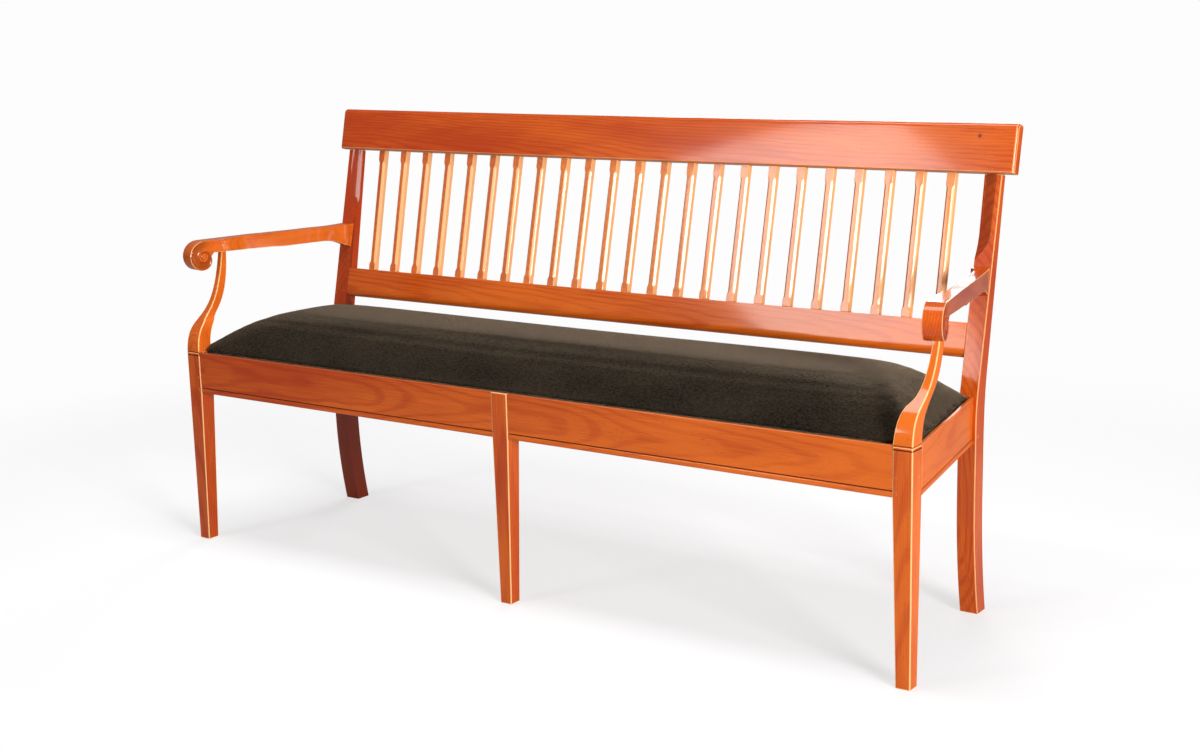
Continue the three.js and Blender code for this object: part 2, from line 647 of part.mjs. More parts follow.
function lowerRail() {
  const end = POST_INNER - FIT;
  const shape = new THREE.Shape();
  shape.moveTo(LOWER_THICKNESS, LOWER_FOOT);
  shape.lineTo(LOWER_THICKNESS, LOWER_TOP);
  shape.lineTo(0, LOWER_TOP);
  shape.lineTo(0, LOWER_FOOT + LOWER_ROUND_HEIGHT);
  shape.quadraticCurveTo(0, LOWER_FOOT, LOWER_ROUND_DEPTH, LOWER_FOOT);
  const rail = alongX(shape, [-end, end]).applyMatrix4(RAKED);
  const tenonEnd = end + LOWER_TENON_LENGTH;
  const tenon = rakedBox([-tenonEnd, tenonEnd], LOWER_TENON_Y, LOWER_TENON_Z);
  const holes = lowerPegHoles();
  const mortises = SLATS.map((x) => slatTenon(x, false, FIT));
  return cut(joined(rail, tenon), ...holes, ...holes.map(mirrored), ...mortises);
}

// Slats

// Front face of a slat, in the frame of the back: it leans as the bow of the crest asks
function slatFace(x, up) {
  const atCrest = crestFace(x) + SLAT_CREST_INSET;
  return THREE.MathUtils.mapLinear(up, LOWER_TOP, CREST_FOOT, SLAT_INSET, atCrest);
}

// A stub tenon at the top or the foot of a slat, or the mortise for it
function slatTenon(x, atTop, clearance) {
  const shoulder = atTop ? CREST_FOOT : LOWER_TOP;
  const way = atTop ? 1 : -1;
  const root = clearance > 0 ? OVERRUN : SLAT_ARRIS;
  const z = inOrder(shoulder - way * root, shoulder + way * (SLAT_TENON_LENGTH + clearance));
  const y = around(slatFace(x, shoulder) + SLAT_DEPTH / 2, SLAT_TENON_DEPTH);
  return rakedBox(grown(around(x, SLAT_TENON_WIDTH), clearance), grown(y, clearance), z);
}

function slat(x) {
  const half = SLAT_WIDTH / 2;
  const ring = (up, chamfer) => {
    const front = slatFace(x, up);
    return [
      [x - half, front + chamfer, up],
      [x - half + chamfer, front, up],
      [x + half - chamfer, front, up],
      [x + half, front + chamfer, up],
      [x + half, front + SLAT_DEPTH, up],
      [x - half, front + SLAT_DEPTH, up],
    ];
  };
  const [foot, top] = [LOWER_TOP + FIT, CREST_FOOT - FIT];
  const blank = loft([
    ring(foot, SLAT_ARRIS),
    ring(foot + SLAT_FOOT_BLOCK, SLAT_ARRIS),
    ring(foot + SLAT_FOOT_BLOCK + SLAT_RUNOUT, SLAT_CHAMFER),
    ring(top - SLAT_TOP_BLOCK - SLAT_RUNOUT, SLAT_CHAMFER),
    ring(top - SLAT_TOP_BLOCK, SLAT_ARRIS),
    ring(top, SLAT_ARRIS),
  ]);
  return joined(blank.applyMatrix4(RAKED), slatTenon(x, false, 0), slatTenon(x, true, 0));
}

// Arms, in their own plan: a runs forward from the post, c outward from the middle line

const ARM_RUN = new THREE.Vector3(LEG_OUTER + SCROLL_OUTSET - POST_MIDDLE, SCROLL_BACK - ARM_START, 0);
const ARM_FORWARD = ARM_RUN.clone().normalize();
const ARM_OUTWARD = Z.clone().cross(ARM_FORWARD);
const EYE = ARM_RUN.length();
const ARM_LEVEL = EYE - LEVEL_RUN;
const ARM_SEAT = EYE - SEAT_RUN;
const WAIST_TO = EYE - WAIST_RUN;
const EYE_HEIGHT = ARM_TOP - SCROLL_RADIUS;

// A place at the post, outward from the arm's middle line and above the floor
function armPlace(c, height) {
  const place = new THREE.Vector3(POST_MIDDLE, ARM_START, height);
  return place.addScaledVector(ARM_OUTWARD, c).toArray();
}

// The arm's outline from the side, with the curl of its scroll
function armSide() {
  const neck = ARM_TOP - ARM_DIP;
  const belly = ARM_TOP - ARM_BELLY;
  const root = ARM_TOP - ARM_ROOT;
  const swell = (ARM_LEVEL - ARM_NECK) * SWELL_SHARE;
  const seatHandle = ARM_SEAT - (ARM_SEAT - ARM_BELLY_LENGTH) * SWELL_SHARE;
  const bellyHandle = ARM_BELLY_LENGTH + (ARM_SEAT - ARM_BELLY_LENGTH) * SWELL_SHARE;
  const shape = new THREE.Shape();
  shape.moveTo(ARM_BACK, neck + ARM_RISE);
  shape.lineTo(0, neck + ARM_RISE);
  shape.quadraticCurveTo(ARM_NECK / 2, neck, ARM_NECK, neck);
  shape.bezierCurveTo(ARM_NECK + swell, neck, ARM_LEVEL - swell, ARM_TOP, ARM_LEVEL, ARM_TOP);
  for (let step = 0; step <= SCROLL_STEPS; step += 1) {
    const share = step / SCROLL_STEPS;
    const radius = SCROLL_RADIUS * (1 - SCROLL_TUCK_SHARE * share ** 3);
    const turn = share * SCROLL_TURN;
    shape.lineTo(EYE + radius * Math.sin(turn), EYE_HEIGHT + radius * Math.cos(turn));
  }
  const curl = SCROLL_RADIUS * (1 - SCROLL_TUCK_SHARE);
  shape.lineTo(EYE - curl - (SUPPORT_TOP - EYE_HEIGHT), SUPPORT_TOP);
  shape.lineTo(ARM_SEAT, SUPPORT_TOP);
  shape.bezierCurveTo(seatHandle, SUPPORT_TOP, bellyHandle, belly, ARM_BELLY_LENGTH, belly);
  shape.lineTo(ARM_NECK, belly);
  shape.quadraticCurveTo(ARM_NECK / 2, belly, 0, root);
  shape.lineTo(ARM_BACK, root + ARM_BACK);
  return shape;
}

// The arm's outline from above: straight outside, with a waist on the inside
function armPlan() {
  const half = ARM_WIDTH / 2;
  const waist = half - ARM_WAIST;
  const front = EYE + SCROLL_RADIUS + OVERRUN;
  const full = EYE - SCROLL_LENGTH;
  const ease = (full - WAIST_TO) * SWELL_SHARE;
  const shape = new THREE.Shape();
  shape.moveTo(ARM_BACK, half);
  shape.lineTo(front, half);
  shape.lineTo(front, -half);
  shape.lineTo(full, -half);
  shape.bezierCurveTo(full - ease, -half, WAIST_TO + ease, waist, WAIST_TO, waist);
  shape.lineTo(WAIST_FROM, waist);
  shape.bezierCurveTo(WAIST_FROM / 2, waist, 0, waist, 0, -half);
  shape.lineTo(ARM_BACK, -half);
  return shape;
}

function arm() {
  const side = swept(armSide(), ARM_WIDTH, ARM_FORWARD, Z, armPlace(ARM_WIDTH / 2, 0));
  const low = EYE_HEIGHT - 2 * SCROLL_RADIUS;
  const plan = swept(armPlan(), 4 * SCROLL_RADIUS, ARM_FORWARD, ARM_OUTWARD, armPlace(0, low));
  const tenon = rakedBox(ARM_TENON_X, [-OVERRUN, ARM_TENON_LENGTH], ARM_TENON_Z);
  const hole = dowelHole(SUPPORT_TOP_AT, [SUPPORT_TOP - OVERRUN, SUPPORT_TOP + DOWEL_LENGTH + FIT]);
  return cut(joined(cut(common(side, plan), postBlank(FIT, OVERRUN)), tenon), hole);
}

// Arm supports

// One sweeping edge of a support, drawn up to its top or down to its foot
function sweepTo(shape, foot, top, shares, upward) {
  const place = (run, height) => [
    THREE.MathUtils.lerp(foot, top, run),
    THREE.MathUtils.lerp(RAIL_TOP, SUPPORT_TOP, height),
  ];
  const low = place(shares[0], shares[1]);
  const high = place(shares[2], shares[3]);
  const controls = upward ? [low, high] : [high, low];
  const end = upward ? place(1, 1) : place(0, 0);
  shape.bezierCurveTo(...controls.flat(), ...end);
}

function support() {
  const side = new THREE.Shape();
  side.moveTo(0, RAIL_TOP);
  sweepTo(side, 0, SUPPORT_LEAN, SUPPORT_FRONT_SHARES, true);
  side.lineTo(SUPPORT_REAR, SUPPORT_TOP);
  sweepTo(side, LEG_SIZE, SUPPORT_REAR, SUPPORT_REAR_SHARES, false);
  const front = new THREE.Shape();
  const topInner = LEG_OUTER - SUPPORT_TOP_WIDTH;
  front.moveTo(LEG_OUTER, RAIL_TOP);
  front.lineTo(LEG_OUTER, SUPPORT_TOP);
  front.lineTo(topInner, SUPPORT_TOP);
  sweepTo(front, LEG_INNER, topInner, SUPPORT_INNER_SHARES, false);
  const blank = common(
    alongX(side, grown([LEG_INNER, LEG_OUTER], OVERRUN)),
    alongY(front, grown([0, SUPPORT_REAR], OVERRUN)),
  );
  return joined(
    cut(blank, scratch(RAIL_TOP)),
    rod(DOWEL_DIAMETER, SUPPORT_FOOT_AT, around(RAIL_TOP, 2 * DOWEL_LENGTH)),
    rod(DOWEL_DIAMETER, SUPPORT_TOP_AT, around(SUPPORT_TOP, 2 * DOWEL_LENGTH)),
  );
}

// Drop-in seat

// Inner face of the side rail at a depth, for wood of the given thickness outside it
function sideInner(thickness, y) {
  return LEG_OUTER - thickness / Math.cos(SPLAY) - (y - LEG_SIZE) * Math.tan(SPLAY);
}

function lipX(y) {
  return sideInner(RAIL_LIP, y) - SEAT_CLEARANCE;
}

// Seat screws, each up through the middle of a corner block
const RIGHT_SCREWS = [
  [LEG_INNER - SCREW_INSET, LEG_SIZE + SCREW_INSET],
  [POST_INNER - SCREW_INSET, SEAT_DEPTH - SCREW_INSET],
];

function screwHole(at) {
  const reach = [LEDGE - BLOCK_HEIGHT - OVERRUN, LEDGE + SCREW_BITE + FIT];
  return rod(SCREW_DIAMETER + 2 * FIT, at, reach);
}

function screw([x, y]) {
  const profile = [
    [0, -SCREW_HEAD_HEIGHT],
    [SCREW_HEAD_DIAMETER / 3, -SCREW_HEAD_HEIGHT],
    [SCREW_HEAD_DIAMETER / 2, -SCREW_HEAD_HEIGHT / 2],
    [SCREW_HEAD_DIAMETER / 2, 0],
    [SCREW_DIAMETER / 2, 0],
    [SCREW_DIAMETER / 2, BLOCK_HEIGHT + SCREW_BITE],
    [0, BLOCK_HEIGHT + SCREW_BITE],
  ];
  const lathe = new THREE.LatheGeometry(
    profile.map(([radius, height]) => new THREE.Vector2(radius, height)),
    ROUND_SIDES,
  );
  return lathe.rotateX(Math.PI / 2).translate(x, y, LEDGE - BLOCK_HEIGHT);
}

function seatBoard() {
  const legSide = LEG_INNER - SEAT_CLEARANCE;
  const legBack = LEG_SIZE + SEAT_CLEARANCE;
  const postSide = POST_INNER - SEAT_CLEARANCE;
  const postFront = SEAT_DEPTH - SEAT_CLEARANCE;
  const right = [
    [legSide, SEAT_FRONT],
    [legSide, legBack],
    [lipX(legBack), legBack],
    [lipX(postFront), postFront],
    [postSide, postFront],
    [postSide, SEAT_BACK],
  ];
  const left = right.map(([x, y]) => [-x, y]).reverse();
  const holes = RIGHT_SCREWS.map(screwHole);
  return cut(alongZ(outline([...right, ...left]), [LEDGE, BOARD_TOP]), ...holes, ...holes.map(mirrored));
}

// A crowned pad whose sides pull in between its corners, notched round the legs and posts
function cushion() {
  const [columns, rows] = CUSHION_STEPS;
  const foot = BOARD_TOP + FIT;
  const middle = (SEAT_FRONT + SEAT_BACK) / 2;
  const spread = (step, steps) => Math.sin((step / steps - 1 / 2) * Math.PI);
  const point = (column, row, onTop) => {
    const u = spread(column, columns);
    const v = spread(row, rows);
    const y = middle + v * ((SEAT_BACK - SEAT_FRONT) / 2 - CUSHION_DRAW * (1 - u * u));
    const x = u * (lipX(y) - CUSHION_DRAW * (1 - v * v));
    const crown = (1 - Math.abs(u) ** CUSHION_END_POWER) * (1 - Math.abs(v) ** CUSHION_FRONT_POWER);
    return [x, y, onTop ? foot + CUSHION_EDGE + CUSHION_CROWN * crown : foot];
  };
  // Each ring runs back over the crown and then along the flat underside
  const rings = Array.from({ length: rows + 1 }, (_, row) => {
    const over = Array.from({ length: columns + 1 }, (_, column) => point(column, row, true));
    const under = Array.from({ length: columns + 1 }, (_, column) => point(columns - column, row, false));
    return [...over, ...under];
  });
  const height = grown([foot, foot + CUSHION_CROWN], OVERRUN);
  const end = LEG_OUTER + OVERRUN;
  const postFront = SEAT_DEPTH - SEAT_CLEARANCE;
  const legNotch = box([LEG_INNER - CUSHION_NOTCH, end], [-OVERRUN, LEG_SIZE + CUSHION_NOTCH], height);
  const postNotch = box([POST_INNER - SEAT_CLEARANCE, end], [postFront, BACK_FACE], height);
  return cut(loft(rings), legNotch, mirrored(legNotch), postNotch, mirrored(postNotch));
}

// Bracing under the seat

function blockSide(y) {
  return sideInner(RAIL_THICKNESS, y) - FIT;
}

function cornerBlock(plan, screwAt) {
  return cut(alongZ(outline(plan), [LEDGE - BLOCK_HEIGHT, LEDGE]), screwHole(screwAt));
}

function frontBlock() {
  const near = LEG_SIZE + FIT;
  const far = near + BLOCK_LEG;
  const plan = [
    [LEG_INNER - BLOCK_LEG, RAIL_BACK + FIT],
    [LEG_INNER - FIT, RAIL_BACK + FIT],
    [LEG_INNER - FIT, near],
    [blockSide(near), near],
    [blockSide(far), far],
  ];
  return cornerBlock(plan, RIGHT_SCREWS[0]);
}

function backBlock() {
  const near = SEAT_DEPTH - FIT;
  const far = near - BLOCK_LEG;
  const plan = [
    [blockSide(far), far],
    [blockSide(near), near],
    [POST_INNER - BLOCK_LEG, near],
  ];
  return cornerBlock(plan, RIGHT_SCREWS[1]);
}

// A bearer from the front rail, or from the middle leg if it lies behind that, to the back rail
function bearer(x) {
  const front = Math.abs(x) < MIDDLE_HALF ? LEG_SIZE : RAIL_BACK;
  const y = [front + FIT, SEAT_DEPTH - FIT];
  const beam = box(around(x, BEARER_WIDTH), y, [LEDGE - BEARER_HEIGHT, LEDGE]);
  return joined(beam, box(around(x, BEARER_TENON_WIDTH), grown(y, BEARER_TENON_LENGTH), BEARER_TENON_Z));
}

// The bench

const bench = new THREE.Group();
bench.name = "deacons_bench";

const CHERRY = { color: 0x8a3a22, roughness: 0.42, metalness: 0 };
const CHERRY_SLAT = { color: 0x93402a, roughness: 0.42, metalness: 0 };
const VELVET = { color: 0x4a4438, roughness: 0.95, metalness: 0 };
const PLYWOOD = { color: 0xb9986a, roughness: 0.75, metalness: 0 };
const STEEL = { color: 0x8d8f92, roughness: 0.35, metalness: 0.9 };

function add(name, geometry, look) {
  const flat = geometry.index ? geometry.toNonIndexed() : geometry;
  flat.computeVertexNormals();
  const mesh = new THREE.Mesh(flat, new THREE.MeshStandardMaterial(look));
  mesh.name = name;
  bench.add(mesh);
}

function addPair(name, geometry, look) {
  add(`${name}_left`, mirrored(geometry), look);
  add(`${name}_right`, geometry, look);
}

addPair("front_leg", cornerLeg(), CHERRY);
add("front_leg_middle", middleLeg(), CHERRY);
addPair("back_post", post(), CHERRY);
addPair("front_rail", frontRail(), CHERRY);
addPair("side_rail", sideRail(), CHERRY);
add("back_seat_rail", backRail(), CHERRY);
add("lower_back_rail", lowerRail(), CHERRY);
add("crest_rail", crest(), CHERRY);
SLATS.forEach((x, i) => add(`slat_${String(i + 1).padStart(2, "0")}`, slat(x), CHERRY_SLAT));
addPair("arm", arm(), CHERRY);
addPair("arm_support", support(), CHERRY);
addPair("corner_block_front", frontBlock(), CHERRY);
addPair("corner_block_back", backBlock(), CHERRY);
BEARERS.forEach((x, i) => add(`cross_bearer_${i + 1}`, bearer(x), CHERRY));
add("seat_board", seatBoard(), PLYWOOD);
add("seat_cushion", cushion(), VELVET);
addPair("crest_peg", peg(POST_MIDDLE, CREST_PEG_HEIGHT, CREST_PEG_FACE), CHERRY_SLAT);
LOWER_PEG_HEIGHTS.forEach((up, i) => addPair(`rail_peg_${i + 1}`, peg(LOWER_PEG_X, up, 0), CHERRY_SLAT));
addPair("seat_screw_front", screw(RIGHT_SCREWS[0]), STEEL);
addPair("seat_screw_back", screw(RIGHT_SCREWS[1]), STEEL);

// The origin goes to the middle of the bench's footprint, on the floor
const bounds = new THREE.Box3().setFromObject(bench);
const middle = (bounds.min.y + bounds.max.y) / 2;
bench.children.forEach((mesh) => mesh.geometry.translate(0, -middle, 0));

export default bench;
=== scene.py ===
# %% [markdown]
# # Dressing a deacons bench
#
# A joiner builds this bench from cherry: square tapered legs, rails tenoned between them, two raked
# posts, a bowed crest over a row of slim slats, and two arms that end in carved scrolls. A crowned
# velvet seat drops in between the rails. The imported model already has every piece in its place, so
# this script loads it as a fixed frame and gives each piece the finish and the fine shape of the
# real one: softened arrises, carved scrolls, pegs, stuffed velvet and the wood's own figure.

import math

import bmesh
import bpy
from mathutils import Euler, Matrix, Vector
from mathutils.geometry import interpolate_bezier


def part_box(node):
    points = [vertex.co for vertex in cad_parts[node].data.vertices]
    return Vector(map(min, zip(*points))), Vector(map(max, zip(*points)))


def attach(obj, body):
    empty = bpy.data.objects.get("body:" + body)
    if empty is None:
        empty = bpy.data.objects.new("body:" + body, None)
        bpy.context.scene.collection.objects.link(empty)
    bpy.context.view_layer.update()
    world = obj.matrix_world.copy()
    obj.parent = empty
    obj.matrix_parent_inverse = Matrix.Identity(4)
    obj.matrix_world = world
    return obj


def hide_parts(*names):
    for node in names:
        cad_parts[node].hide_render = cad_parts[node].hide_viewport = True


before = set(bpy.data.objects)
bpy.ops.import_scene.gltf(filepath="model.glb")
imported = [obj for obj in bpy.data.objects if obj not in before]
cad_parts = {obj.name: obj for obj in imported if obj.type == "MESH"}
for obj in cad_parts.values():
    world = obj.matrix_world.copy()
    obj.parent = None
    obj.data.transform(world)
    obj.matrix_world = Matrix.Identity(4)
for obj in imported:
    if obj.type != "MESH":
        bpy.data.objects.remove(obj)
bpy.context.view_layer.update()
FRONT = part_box("front_leg_middle")[0].y
MM = 0.001
print(f"{len(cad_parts)} pieces, the legs' faces at y = {FRONT:.4f} m")

# %% [markdown]
# ## The camera
#
# The photograph is taken from the right of the bench, a little above its crest, looking down at the
# seat. The place and the two turns below were found from the straight edges of the bench, so that
# every foot and corner falls where it does in the picture. A camera looks along its own -Z, so its
# matrix is built from three square directions: right, up and backwards.

# %% Camera
CAMERA_PLACE = Vector((2.1383, -2.9436, 1.1868))
CAMERA_TURN = 0.617
CAMERA_DIP = 0.208
CAMERA_TILT = -0.025

ahead = Vector(
    (
        -math.sin(CAMERA_TURN) * math.cos(CAMERA_DIP),
        math.cos(CAMERA_TURN) * math.cos(CAMERA_DIP),
        -math.sin(CAMERA_DIP),
    )
)
level = ahead.cross(Vector((0, 0, 1))).normalized()
upward = level.cross(ahead)
axes = Matrix((level, upward, -ahead)).transposed() @ Matrix.Rotation(CAMERA_TILT, 3, "Z")

camera = bpy.data.objects.new("camera", bpy.data.cameras.new("camera"))
camera.matrix_world = Matrix.Translation(CAMERA_PLACE) @ axes.to_4x4()
camera.data.sensor_width = 36
camera.data.lens = 53.844
camera.data.shift_x = 0.00017
camera.data.shift_y = -0.00146
bpy.context.scene.collection.objects.link(camera)
bpy.context.scene.camera = camera
bpy.context.scene.view_settings.view_transform = "Standard"
print("camera looks along", tuple(round(part, 3) for part in ahead))

# %% [markdown]
# ## Helpers for node trees
#
# Materials in Blender are graphs. Placing each node by hand takes many lines, so one helper makes a
# node, sets it up and wires its inputs: an input is either a plain value or the output of another
# node. The others cover what every finish here needs: mixing two colours, a sum, a smooth ramp from
# one value to another, stretched noise, and a new material with its Principled surface.


# %% Node helpers
def node(tree, kind, inputs=None, **settings):
    made = tree.nodes.new(kind)
    for name, value in settings.items():
        setattr(made, name, value)
    for name, value in (inputs or {}).items():
        if isinstance(value, bpy.types.NodeSocket):
            tree.links.new(value, made.inputs[name])
        else:
            made.inputs[name].default_value = value
    return made


def blend(tree, share, first, second):
    inputs = {0: share, 6: first, 7: second}
    return node(tree, "ShaderNodeMix", inputs, data_type="RGBA").outputs[2]


def calc(tree, what, first, second=0.0):
    return node(tree, "ShaderNodeMath", {0: first, 1: second}, operation=what).outputs[0]


def spread(tree, value, low, high, to_low=0.0, to_high=1.0):
    inputs = {"Value": value, "From Min": low, "From Max": high, "To Min": to_low, "To Max": to_high}
    return node(tree, "ShaderNodeMapRange", inputs, interpolation_type="SMOOTHSTEP").outputs[0]


def stretched(tree, vector, scale):
    return node(tree, "ShaderNodeMapping", {"Vector": vector, "Scale": scale}).outputs[0]


def noise(tree, vector, scale, detail=2.0, rough=0.5):
    inputs = {"Vector": vector, "Scale": scale, "Detail": detail, "Roughness": rough}
    return node(tree, "ShaderNodeTexNoise", inputs)


def new_material(name):
    material = bpy.data.materials.new(name)
    material.use_nodes = True
    tree = material.node_tree
    return material, tree, tree.nodes["Principled BSDF"]


def effect(name, inputs, outputs):
    tree = bpy.data.node_groups.new(name, "ShaderNodeTree")
    for label, kind, value in inputs:
        socket = tree.interface.new_socket(label, in_out="INPUT", socket_type=kind)
        if value is not None:
            socket.default_value = value
    for label, kind in outputs:
        tree.interface.new_socket(label, in_out="OUTPUT", socket_type=kind)
    entry = tree.nodes.new("NodeGroupInput")
    leave = tree.nodes.new("NodeGroupOutput")
    print("effect:", name)
    return tree, entry.outputs, leave.inputs


def place_effect(tree, group, inputs):
    return node(tree, "ShaderNodeGroup", inputs, node_tree=group).outputs


VALUE = "NodeSocketFloat"
VECTOR = "NodeSocketVector"

# %% [markdown]
# ## The figure of cherry
#
# A tree grows in rings, and a board is a slice through them, so its figure is best made the same
# way: as distance from a far pith, wandering a little, cut by the surface of the board. Because the
# pattern is solid, faces, edges and end grain agree with each other. Cherry adds fine fibres, broad
# drifts of red and orange, and short dark gum flecks. In this group the grain runs along X; each
# material turns its own pieces to suit.

# %% Effect: cherry figure
figure, given, told = effect(
    "cherry figure",
    [
        ("Vector", VECTOR, None),
        ("Ring Spacing", VALUE, 0.0052),
        ("Wander", VALUE, 0.03),
    ],
    [("Rings", VALUE), ("Fibre", VALUE), ("Drift", VALUE), ("Fleck", VALUE)],
)
slow = noise(figure, stretched(figure, given["Vector"], (1.9, 6.0, 6.0)), 1.0, 3.0)
swing = node(
    figure,
    "ShaderNodeVectorMath",
    {0: slow.outputs["Color"], 1: (0.5, 0.5, 0.5)},
    operation="SUBTRACT",
)
swing = node(
    figure,
    "ShaderNodeVectorMath",
    {0: swing.outputs[0], "Scale": given["Wander"]},
    operation="SCALE",
)
bent = node(figure, "ShaderNodeVectorMath", {0: given["Vector"], 1: swing.outputs[0]}, operation="ADD")
parts = node(figure, "ShaderNodeSeparateXYZ", {0: bent.outputs[0]}).outputs
square_y = calc(figure, "MULTIPLY", parts["Y"], parts["Y"])
square_z = calc(figure, "MULTIPLY", parts["Z"], parts["Z"])
pith = calc(figure, "SQRT", calc(figure, "ADD", square_y, square_z))
pith = calc(figure, "ADD", pith, calc(figure, "MULTIPLY", parts["X"], 0.03))
turns = calc(figure, "MULTIPLY", calc(figure, "DIVIDE", pith, given["Ring Spacing"]), math.tau)
wave = spread(figure, calc(figure, "SINE", turns), -1.0, 1.0)
figure.links.new(calc(figure, "POWER", wave, 4.0), told["Rings"])
fibre = noise(figure, stretched(figure, given["Vector"], (9.0, 520.0, 520.0)), 1.0, 3.0, 0.6)
figure.links.new(fibre.outputs[0], told["Fibre"])
drift = noise(figure, stretched(figure, given["Vector"], (2.2, 11.0, 11.0)), 1.0, 3.0, 0.55)
figure.links.new(drift.outputs[0], told["Drift"])
fleck = noise(figure, stretched(figure, given["Vector"], (70.0, 700.0, 700.0)), 1.0, 1.0)
figure.links.new(spread(figure, fleck.outputs[0], 0.68, 0.78), told["Fleck"])

# %% [markdown]
# ## Handling and dust
#
# Hands and cloths polish a bench where they touch it, and leave faint smears in the varnish. A slow
# cloudy mask, mixed from two noises, varies the gloss and the depth of colour, so that no large
# face looks sprayed. The velvet uses the same group for the way its nap lies.

# %% Effect: handling
handling, given, told = effect(
    "handling",
    [("Vector", VECTOR, None), ("Size", VALUE, 4.0)],
    [("Cloud", VALUE), ("Speck", VALUE)],
)
cloud = noise(handling, given["Vector"], given["Size"], 4.0, 0.6)
handling.links.new(spread(handling, cloud.outputs[0], 0.3, 0.7), told["Cloud"])
speck = noise(handling, given["Vector"], 190.0, 3.0, 0.8)
handling.links.new(spread(handling, speck.outputs[0], 0.40, 0.66), told["Speck"])

# %% [markdown]
# ## Cherry, oiled and varnished
#
# The wood is a Principled surface under a thin clear coat. Its colour runs from a deep red in the
# late wood to a warm orange in the early wood, and it is painted a little darker towards the bench's
# left end: painted shade, away from the key lamp on the right. Each piece carries attributes of its
# own. `board` slides the figure, so that no two pieces are cut from the same spot of the tree, and
# `shade` makes one board lighter or darker than the next, partly as its own tone and partly as
# painted light and shade. `arris` marks the narrow rounded edges, where the colour turns to cream,
# partly as wear and partly as a painted highlight where the rounds catch the light. A second mask
# darkens narrow grooves, partly as gathered stain and partly as painted shade, and paints shade into
# the hollows of the posts and onto the left back leg below the seat. One small dark pin knot sits
# near the right end of the crest.

# %% Cherry materials
DEEP = (0.38, 0.037, 0.005, 1)
WARM = (0.66, 0.132, 0.011, 1)
# Cream for the arrises: partly wear, partly a painted highlight where the rounds catch the light.
CREAM_WEAR_AND_HIGHLIGHT = (0.95, 0.56, 0.24, 1)
FLECKED = (0.20, 0.022, 0.006, 1)
# Near black for the pin knot, for old stain, and for painted shade in grooves, post hollows and the
# left back leg.
KNOT_STAIN_AND_PAINTED_SHADE = (0.045, 0.009, 0.004, 1)
# Painted shade across the bench: the colour is lighter towards the right, where the key lamp stands.
RIGHTWARD_PAINTED_LIGHT = 0.12
RINGS_DARKEN = 0.13
FIBRE_LIFTS = 0.55
FLECK_SHARE = 0.55
STAIN_AND_SHADE_SHARE = 0.9
TONE_LOW, TONE_HIGH = 0.38, 1.12
KNOT = (0.7715, 0.2345, 0.9098)
KNOT_CORE, KNOT_EDGE = 1.5 * MM, 6 * MM
SPECULAR = 0.12
COAT = 0.45


def cherry(name, turn, varnish=1.0):
    material, tree, surface = new_material(name)
    place = node(tree, "ShaderNodeTexCoord").outputs["Object"]
    board = node(tree, "ShaderNodeAttribute", attribute_name="board").outputs["Vector"]
    along = node(tree, "ShaderNodeMapping", {"Vector": place, "Rotation": turn}).outputs[0]
    along = node(tree, "ShaderNodeVectorMath", {0: along, 1: board}, operation="ADD").outputs[0]
    wood = place_effect(tree, figure, {"Vector": along})
    hands = place_effect(tree, handling, {"Vector": place, "Size": 5.0})
    tone = calc(tree, "SUBTRACT", wood["Drift"], calc(tree, "MULTIPLY", wood["Rings"], RINGS_DARKEN))
    tone = calc(tree, "ADD", tone, calc(tree, "MULTIPLY", wood["Fibre"], FIBRE_LIFTS))
    # painted shade: darker to the left, lighter towards the key lamp on the right
    side = node(tree, "ShaderNodeSeparateXYZ", {0: place}).outputs["X"]
    tone = calc(tree, "ADD", tone, calc(tree, "MULTIPLY", side, RIGHTWARD_PAINTED_LIGHT))
    # each board's shade: partly its own tone, partly painted light and shade
    shade = node(tree, "ShaderNodeAttribute", attribute_name="shade").outputs["Fac"]
    tone = calc(tree, "ADD", tone, shade)
    tone = spread(tree, tone, TONE_LOW, TONE_HIGH)
    colour = blend(tree, tone, DEEP, WARM)
    colour = blend(tree, calc(tree, "MULTIPLY", wood["Fleck"], FLECK_SHARE), colour, FLECKED)
    away = node(tree, "ShaderNodeVectorMath", {0: place, 1: KNOT}, operation="DISTANCE")
    knot = spread(tree, away.outputs["Value"], KNOT_CORE, KNOT_EDGE, 0.8, 0.0)
    colour = blend(tree, knot, colour, KNOT_STAIN_AND_PAINTED_SHADE)
    # cream arrises: partly wear, partly painted highlight
    arris = node(tree, "ShaderNodeAttribute", attribute_name="arris").outputs["Fac"]
    colour = blend(tree, arris, colour, CREAM_WEAR_AND_HIGHLIGHT)
    # darkened grooves, hollows and left back leg: partly stain, partly painted shade
    stain_and_shade_mark = node(tree, "ShaderNodeAttribute", attribute_name="stain_and_shade_mark").outputs["Fac"]
    colour = blend(tree, calc(tree, "MULTIPLY", stain_and_shade_mark, STAIN_AND_SHADE_SHARE), colour, KNOT_STAIN_AND_PAINTED_SHADE)
    tree.links.new(colour, surface.inputs["Base Color"])
    gloss = spread(tree, hands["Cloud"], 0.0, 1.0, 0.13, 0.19)
    gloss = calc(tree, "ADD", gloss, calc(tree, "MULTIPLY", wood["Fibre"], 0.05))
    tree.links.new(gloss, surface.inputs["Roughness"])
    grain = calc(tree, "SUBTRACT", wood["Fibre"], calc(tree, "MULTIPLY", wood["Fleck"], 1.2))
    bump = node(tree, "ShaderNodeBump", {"Height": grain, "Strength": 0.10, "Distance": 0.0003})
    tree.links.new(bump.outputs[0], surface.inputs["Normal"])
    surface.inputs["Specular IOR Level"].default_value = SPECULAR * varnish
    surface.inputs["Coat Weight"].default_value = COAT * varnish
    surface.inputs["Coat Roughness"].default_value = 0.07
    material["turn"] = turn
    print("material:", name)
    return material


